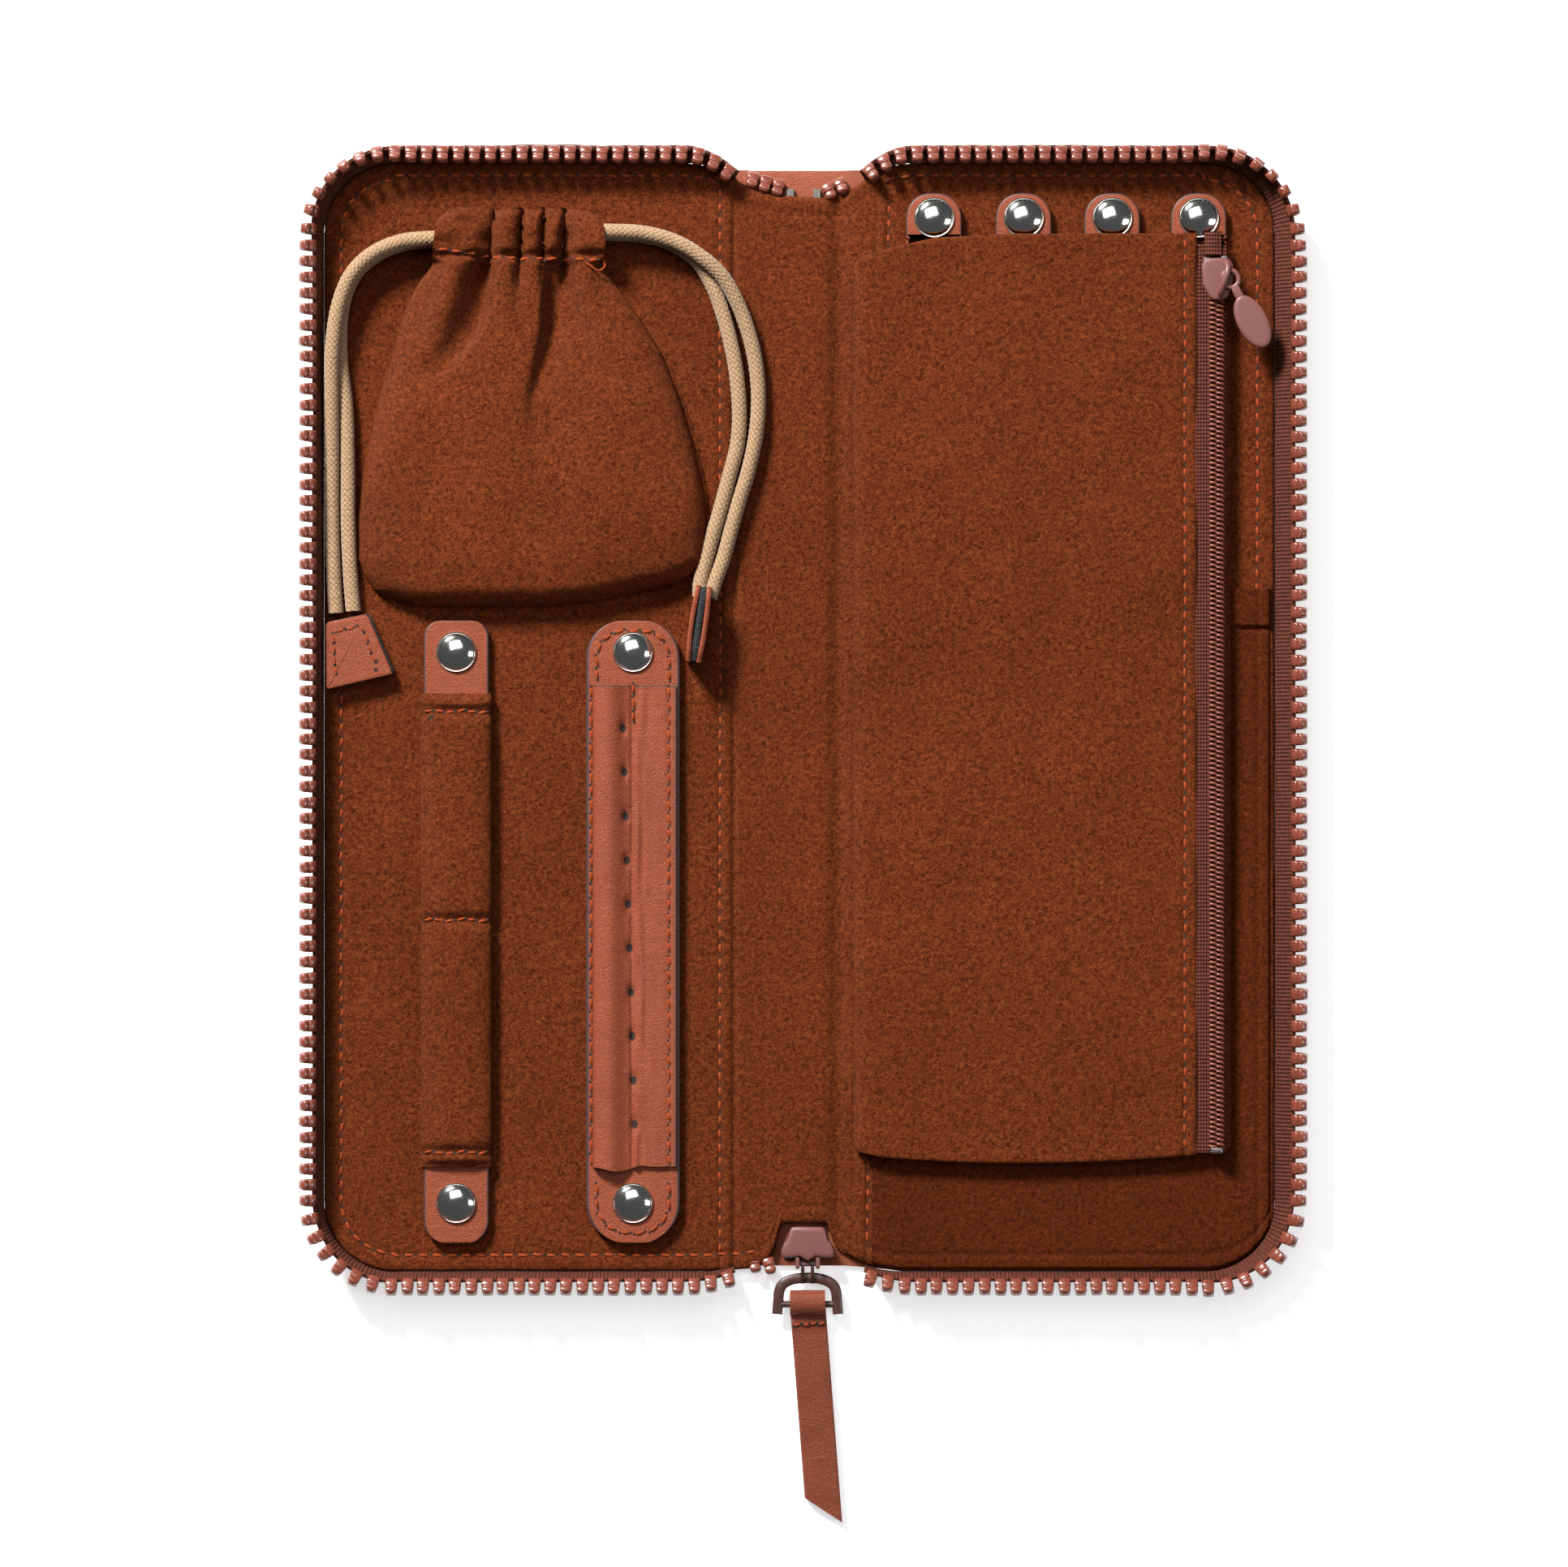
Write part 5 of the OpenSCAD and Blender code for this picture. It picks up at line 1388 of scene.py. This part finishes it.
# the page zip's slider and its pull tab
slider_bits = Pieces()
low_plate = [(79.6, 81.8), (84, 81.8), (84.4, 84), (84.4, 89.4), (78.9, 89.4), (78.9, 84)]
top_plate = [(80.1, 82.4), (81, 81.7), (83, 81.7), (84, 82.4), (84.8, 84.8), (84.9, 88.6), (84.2, 89.6), (82.4, 89.9),
             (81.2, 89.9), (79.5, 89.6), (78.8, 88.6), (79, 84.8)]
slider_bits.add(*plate_parts(low_plate, 5.65, 6.15, 0.15))
slider_bits.add(*plate_parts(top_plate, 8.3, 9.05, 0.3))
bridge = [(82.4, 82.6, 9.0), (82.5, 83.4, 9.9), (83, 85, 10.5), (83.6, 86.8, 10.7), (83.8, 88, 10.3), (83.6, 89, 9.1)]
line, _ = resample(bridge, 0.3)
slider_bits.add(*ring_parts(tube_rings(line, 0.62, 10)))
slider_bits.add(
    *ring_parts(
        [np.array([(81.5, y, z), (82.1, y, z), (82.1, y + 3, z), (81.5, y + 3, z)]) for z, y in ((6, 84), (8.4, 84))]
    )
)
slider_bits.make(
    "page_slider_shell", [PAINT, PAINT], body="page_slider", slot="slider_paint", replaces=("page_slider_body",)
)

pull_dir = np.array([0.455, -0.89])
pull_side = np.array([0.89, 0.455])
PIN = np.array([83.9, 86.6])


def pull_xy(u, v):
    return PIN + pull_dir * u + pull_side * v


pull_bits = Pieces()
ring_line = [(*pull_xy(1.0 + 1.7 * math.cos(a), 1.55 * math.sin(a)), 9.9) for a in around(30)]
rl = np.array(ring_line)
centre = rl.mean(0)
rings = []
for p in rl:
    out = (p - centre) / np.linalg.norm(p - centre)
    rings.append(
        [
            p + out * 0.5 * math.cos(t) + np.array([0, 0, 0.42]) * math.sin(t) for t in np.linspace(
                0, 2 * math.pi, 9
            )[:-1]
        ]
    )
rings.append(rings[0])
pull_bits.add(*ring_parts(rings, cap=False))
neck = [pull_xy(2.4, -0.75), pull_xy(5.4, -0.9), pull_xy(5.4, 0.9), pull_xy(2.4, 0.75)]
if np.cross(neck[1] - neck[0], neck[2] - neck[1]) < 0:
    neck = neck[::-1]
pull_bits.add(*plate_parts(neck, 9.5, 10.3, 0.25))
oval = [pull_xy(10.4 + 5.6 * math.cos(a), 3.0 * math.sin(a)) for a in around(48)]
area = sum(a[0] * b[1] - a[1] * b[0] for a, b in zip(oval, oval[1:] + oval[:1]))
if area < 0:
    oval = oval[::-1]
pull_bits.add(*plate_parts(oval, 9.4, 10.45, 0.42))
pull_bits.make(
    "page_pull_tab", [PAINT, PAINT], body="page_pull", slot="slider_paint", replaces=("page_slider_pull",), sharp=60
)

# ---------------------------------------------------------------- main slider and its pull
SLIDER_X = 1.6


def shifted(points, dx=SLIDER_X):
    """A half outline, from its lowest point up its right side, mirrored into a whole one."""
    right = [(x + dx, y) for x, y in points]
    left = [(dx - x, y) for x, y in reversed(points) if x > 0]
    return right + left


shield = [
    (0, -106.9), (1.6, -105.9), (4.2, -106.2), (5.1, -105.9), (5.2, -104.8), (4.6, -103.4), (3.9, -102.6),
    (3.4, -100.6), (2.8, -100.2), (0, -100.2)
]
main_bits = Pieces()
main_bits.add(*plate_parts(shifted(shield), 1.0, 1.9, 0.25))
main_bits.add(*plate_parts(shifted(shield), 4.35, 5.3, 0.38))
main_bits.add(*plate_parts(shifted([(0, -106.2), (0.6, -106.2), (1.4, -103.4), (0.7, -101), (0, -101)]), 1.8, 4.4, 0.1))
for s in (-1, 1):
    ear = strap_outline(SLIDER_X + s * 2.0, 0.8, -108.4, -106.0, 0.35, 0.2, 5)
    main_bits.add(*plate_parts(ear, 2.8, 5.0, 0.25))
pin = np.array([(SLIDER_X + x, -107.5, 3.7) for x in np.linspace(-2.2, 2.2, 8)])
main_bits.add(*ring_parts(tube_rings(pin, 0.45, 10)))
main_bits.make(
    "main_slider_shell", [PAINT, PAINT], body="main_slider", slot="slider_paint", replaces=("main_slider_body",)
)

link_bits = Pieces()
for s in (-1, 1):
    link_bits.add(*ring_parts([
        [
            (
                SLIDER_X + s * 0.95 + o * 0.34, -109 + 2.45 * math.cos(a),
                3.05 + 1.05 * math.sin(a) + 0.22 * 2.45 * math.cos(a)
            ) for a in around(24)
        ]
        for o in (-1, 1)
    ]))
link_bits.make("main_link", DARK, body="pull_link", slot="dark_metal", replaces=("main_slider_link",))

frame_bits = Pieces()
arch = [(-6.0, -117.4, 2.3), (-5.8, -115, 2.4), (-5.5, -112.6, 2.5), (-4.4, -111.2, 2.5), (-1.9, -110.4, 2.45)]
arch += [(-x, y, z) for x, y, z in arch[::-1]]
line, _ = resample([(x + SLIDER_X, y, z) for x, y, z in arch], 0.3)
_, side_v, up_v = frames(line)
turn = around(12)
section = [
    (
        1.05 * abs(math.cos(t)) ** 0.6 * np.sign(math.cos(t)), 0.72 * abs(math.sin(t)) ** 0.6 * np.sign(math.sin(t))
    ) for t in turn
]
frame_bits.add(*ring_parts([[p + a * s + b * u for a, b in section] for p, s, u in zip(line, side_v, up_v)]))
cross = np.array([(SLIDER_X + x, -115.5, 2.4) for x in np.linspace(-5.4, 5.4, 10)])
frame_bits.add(*ring_parts(tube_rings(cross, 0.68, 12)))
frame_bits.make("main_frame", DARK, body="pull_frame", slot="dark_metal", replaces=("main_pull_frame",), sharp=60)

# leather strap: a loop over the crossbar, a stitched band and two flat layers
SLANT = math.radians(180 + 4.4)


def strap_xy(u, v):
    """u runs down the strap and v to its side."""
    a = SLANT
    return SLIDER_X + v * math.cos(a) - u * math.sin(a), -115.5 + v * math.sin(a) + u * math.cos(a)


def pull_top(u, v):
    z = 2.55 - 0.35 * smooth_step((u - 3) / 3) + 0.05 * waves(u, v, 9, 101)
    z = z + 0.12 * bell(u - 10, 5) * bell(v, 3)
    return z - 0.25 * (1 - np.clip((3.5 - np.abs(v)) / 0.5, 0, 1)) ** 2


us, vs = np.linspace(0, 1, 150), np.linspace(-3.5, 3.5, 40)
gu, gv = np.meshgrid(us, vs, indexing="ij")
long = 38 + 5.4 * (gv + 3.5) / 7
gu = gu * long
sx, sy = strap_xy(gu, -gv)
pull_bits = Pieces()
verts, faces, ids, uvs = slab_parts(sx, sy, pull_top(gu, gv), 0.35, 1)
pull_bits.add(verts, [f[::-1] for f in faces], ids, uvs)
loop_a = np.linspace(math.radians(-100), math.radians(200), 26)
loop_v = np.linspace(-3.45, 3.45, 12)
outer, inner = [], []
for a in loop_a:
    outer.append(
        [
            (
                SLIDER_X + v, -115.2 + 2.5 * math.sin(a + math.pi / 2), 2.4 + 2.05 * -math.cos(a + math.pi / 2)
            ) for v in loop_v
        ]
    )
    inner.append(
        [
            (
                SLIDER_X + v, -115.3 + 1.2 * math.sin(a + math.pi / 2), 2.4 + 1.05 * -math.cos(a + math.pi / 2)
            ) for v in loop_v[::-1]
        ]
    )
pull_bits.add(*ring_parts([o + i for o, i in zip(outer, inner)]))
pull_bits.make(
    "main_pull_leather", [LEATHER_PULL, EDGE], body="pull_strap", slot="strap_leather", replaces=("main_pull_strap",),
    sharp=60
)
band = [strap_xy(3.9, v) for v in np.linspace(-3.1, 3.1, 8)]
stitches("main_pull_stitches", band, 2.6, "pull_strap", seed=102, pitch=1.5, thread=1.25, radius=0.22, slant=12)

# ---------------------------------------------------------------- hidden CAD parts, floor and light
BY_SLOT = {
    "outer_leather": LEATHER_OUTER, "strap_leather": LEATHER, "suede": SUEDE, "board": BOARD, "foam": FOAM,
    "zip_plastic": ZIP, "coil_nylon": COIL, "zip_tape": TAPE, "slider_paint": PAINT, "dark_metal": DARK,
    "nickel": NICKEL, "stop_metal": STOP, "felt": FELT, "cord_cotton": COTTON,
}
for part in frame["record"]["subparts"]:
    node = frame["nodes"][part["node"]]
    node.data.materials.clear()
    node.data.materials.append(BY_SLOT[part["material_slot"]])

FLOOR_HALF, FLOOR_Z = 2, -0.0003  # metres
floor_mesh = bpy.data.meshes.new("floor")
floor_mesh.from_pydata(
    [(FLOOR_HALF * x, FLOOR_HALF * y, FLOOR_Z) for x, y in ((-1, -1), (1, -1), (1, 1), (-1, 1))], [], [(0, 1, 2, 3)]
)
floor_mesh.materials.append(FLOOR)
floor = bpy.data.objects.new("floor", floor_mesh)
bpy.context.scene.collection.objects.link(floor)


def area_light(name, place, size, power, colour=(1, 1, 1)):
    data = bpy.data.lights.new(name, "AREA")
    data.shape = "RECTANGLE"
    data.size, data.size_y = size
    data.energy = power
    data.color = colour
    lamp = bpy.data.objects.new(name, data)
    lamp.location = place
    lamp.rotation_euler = (-Vector(place)).to_track_quat("-Z", "Y").to_euler()
    bpy.context.scene.collection.objects.link(lamp)


area_light("key", (-0.75, 1.2, 1.0), (0.36, 0.36), 84)
area_light("fill", (1.25, -0.15, 1.0), (0.35, 1.1), 6)
area_light("top", (-0.2, 0.7, 2.0), (1.0, 0.8), 10)
world = bpy.data.worlds.new("world")
world.use_nodes = True
world.node_tree.nodes["Background"].inputs["Color"].default_value = (0.9, 0.95, 1.0, 1)
world.node_tree.nodes["Background"].inputs["Strength"].default_value = 0.08
bpy.context.scene.world = world
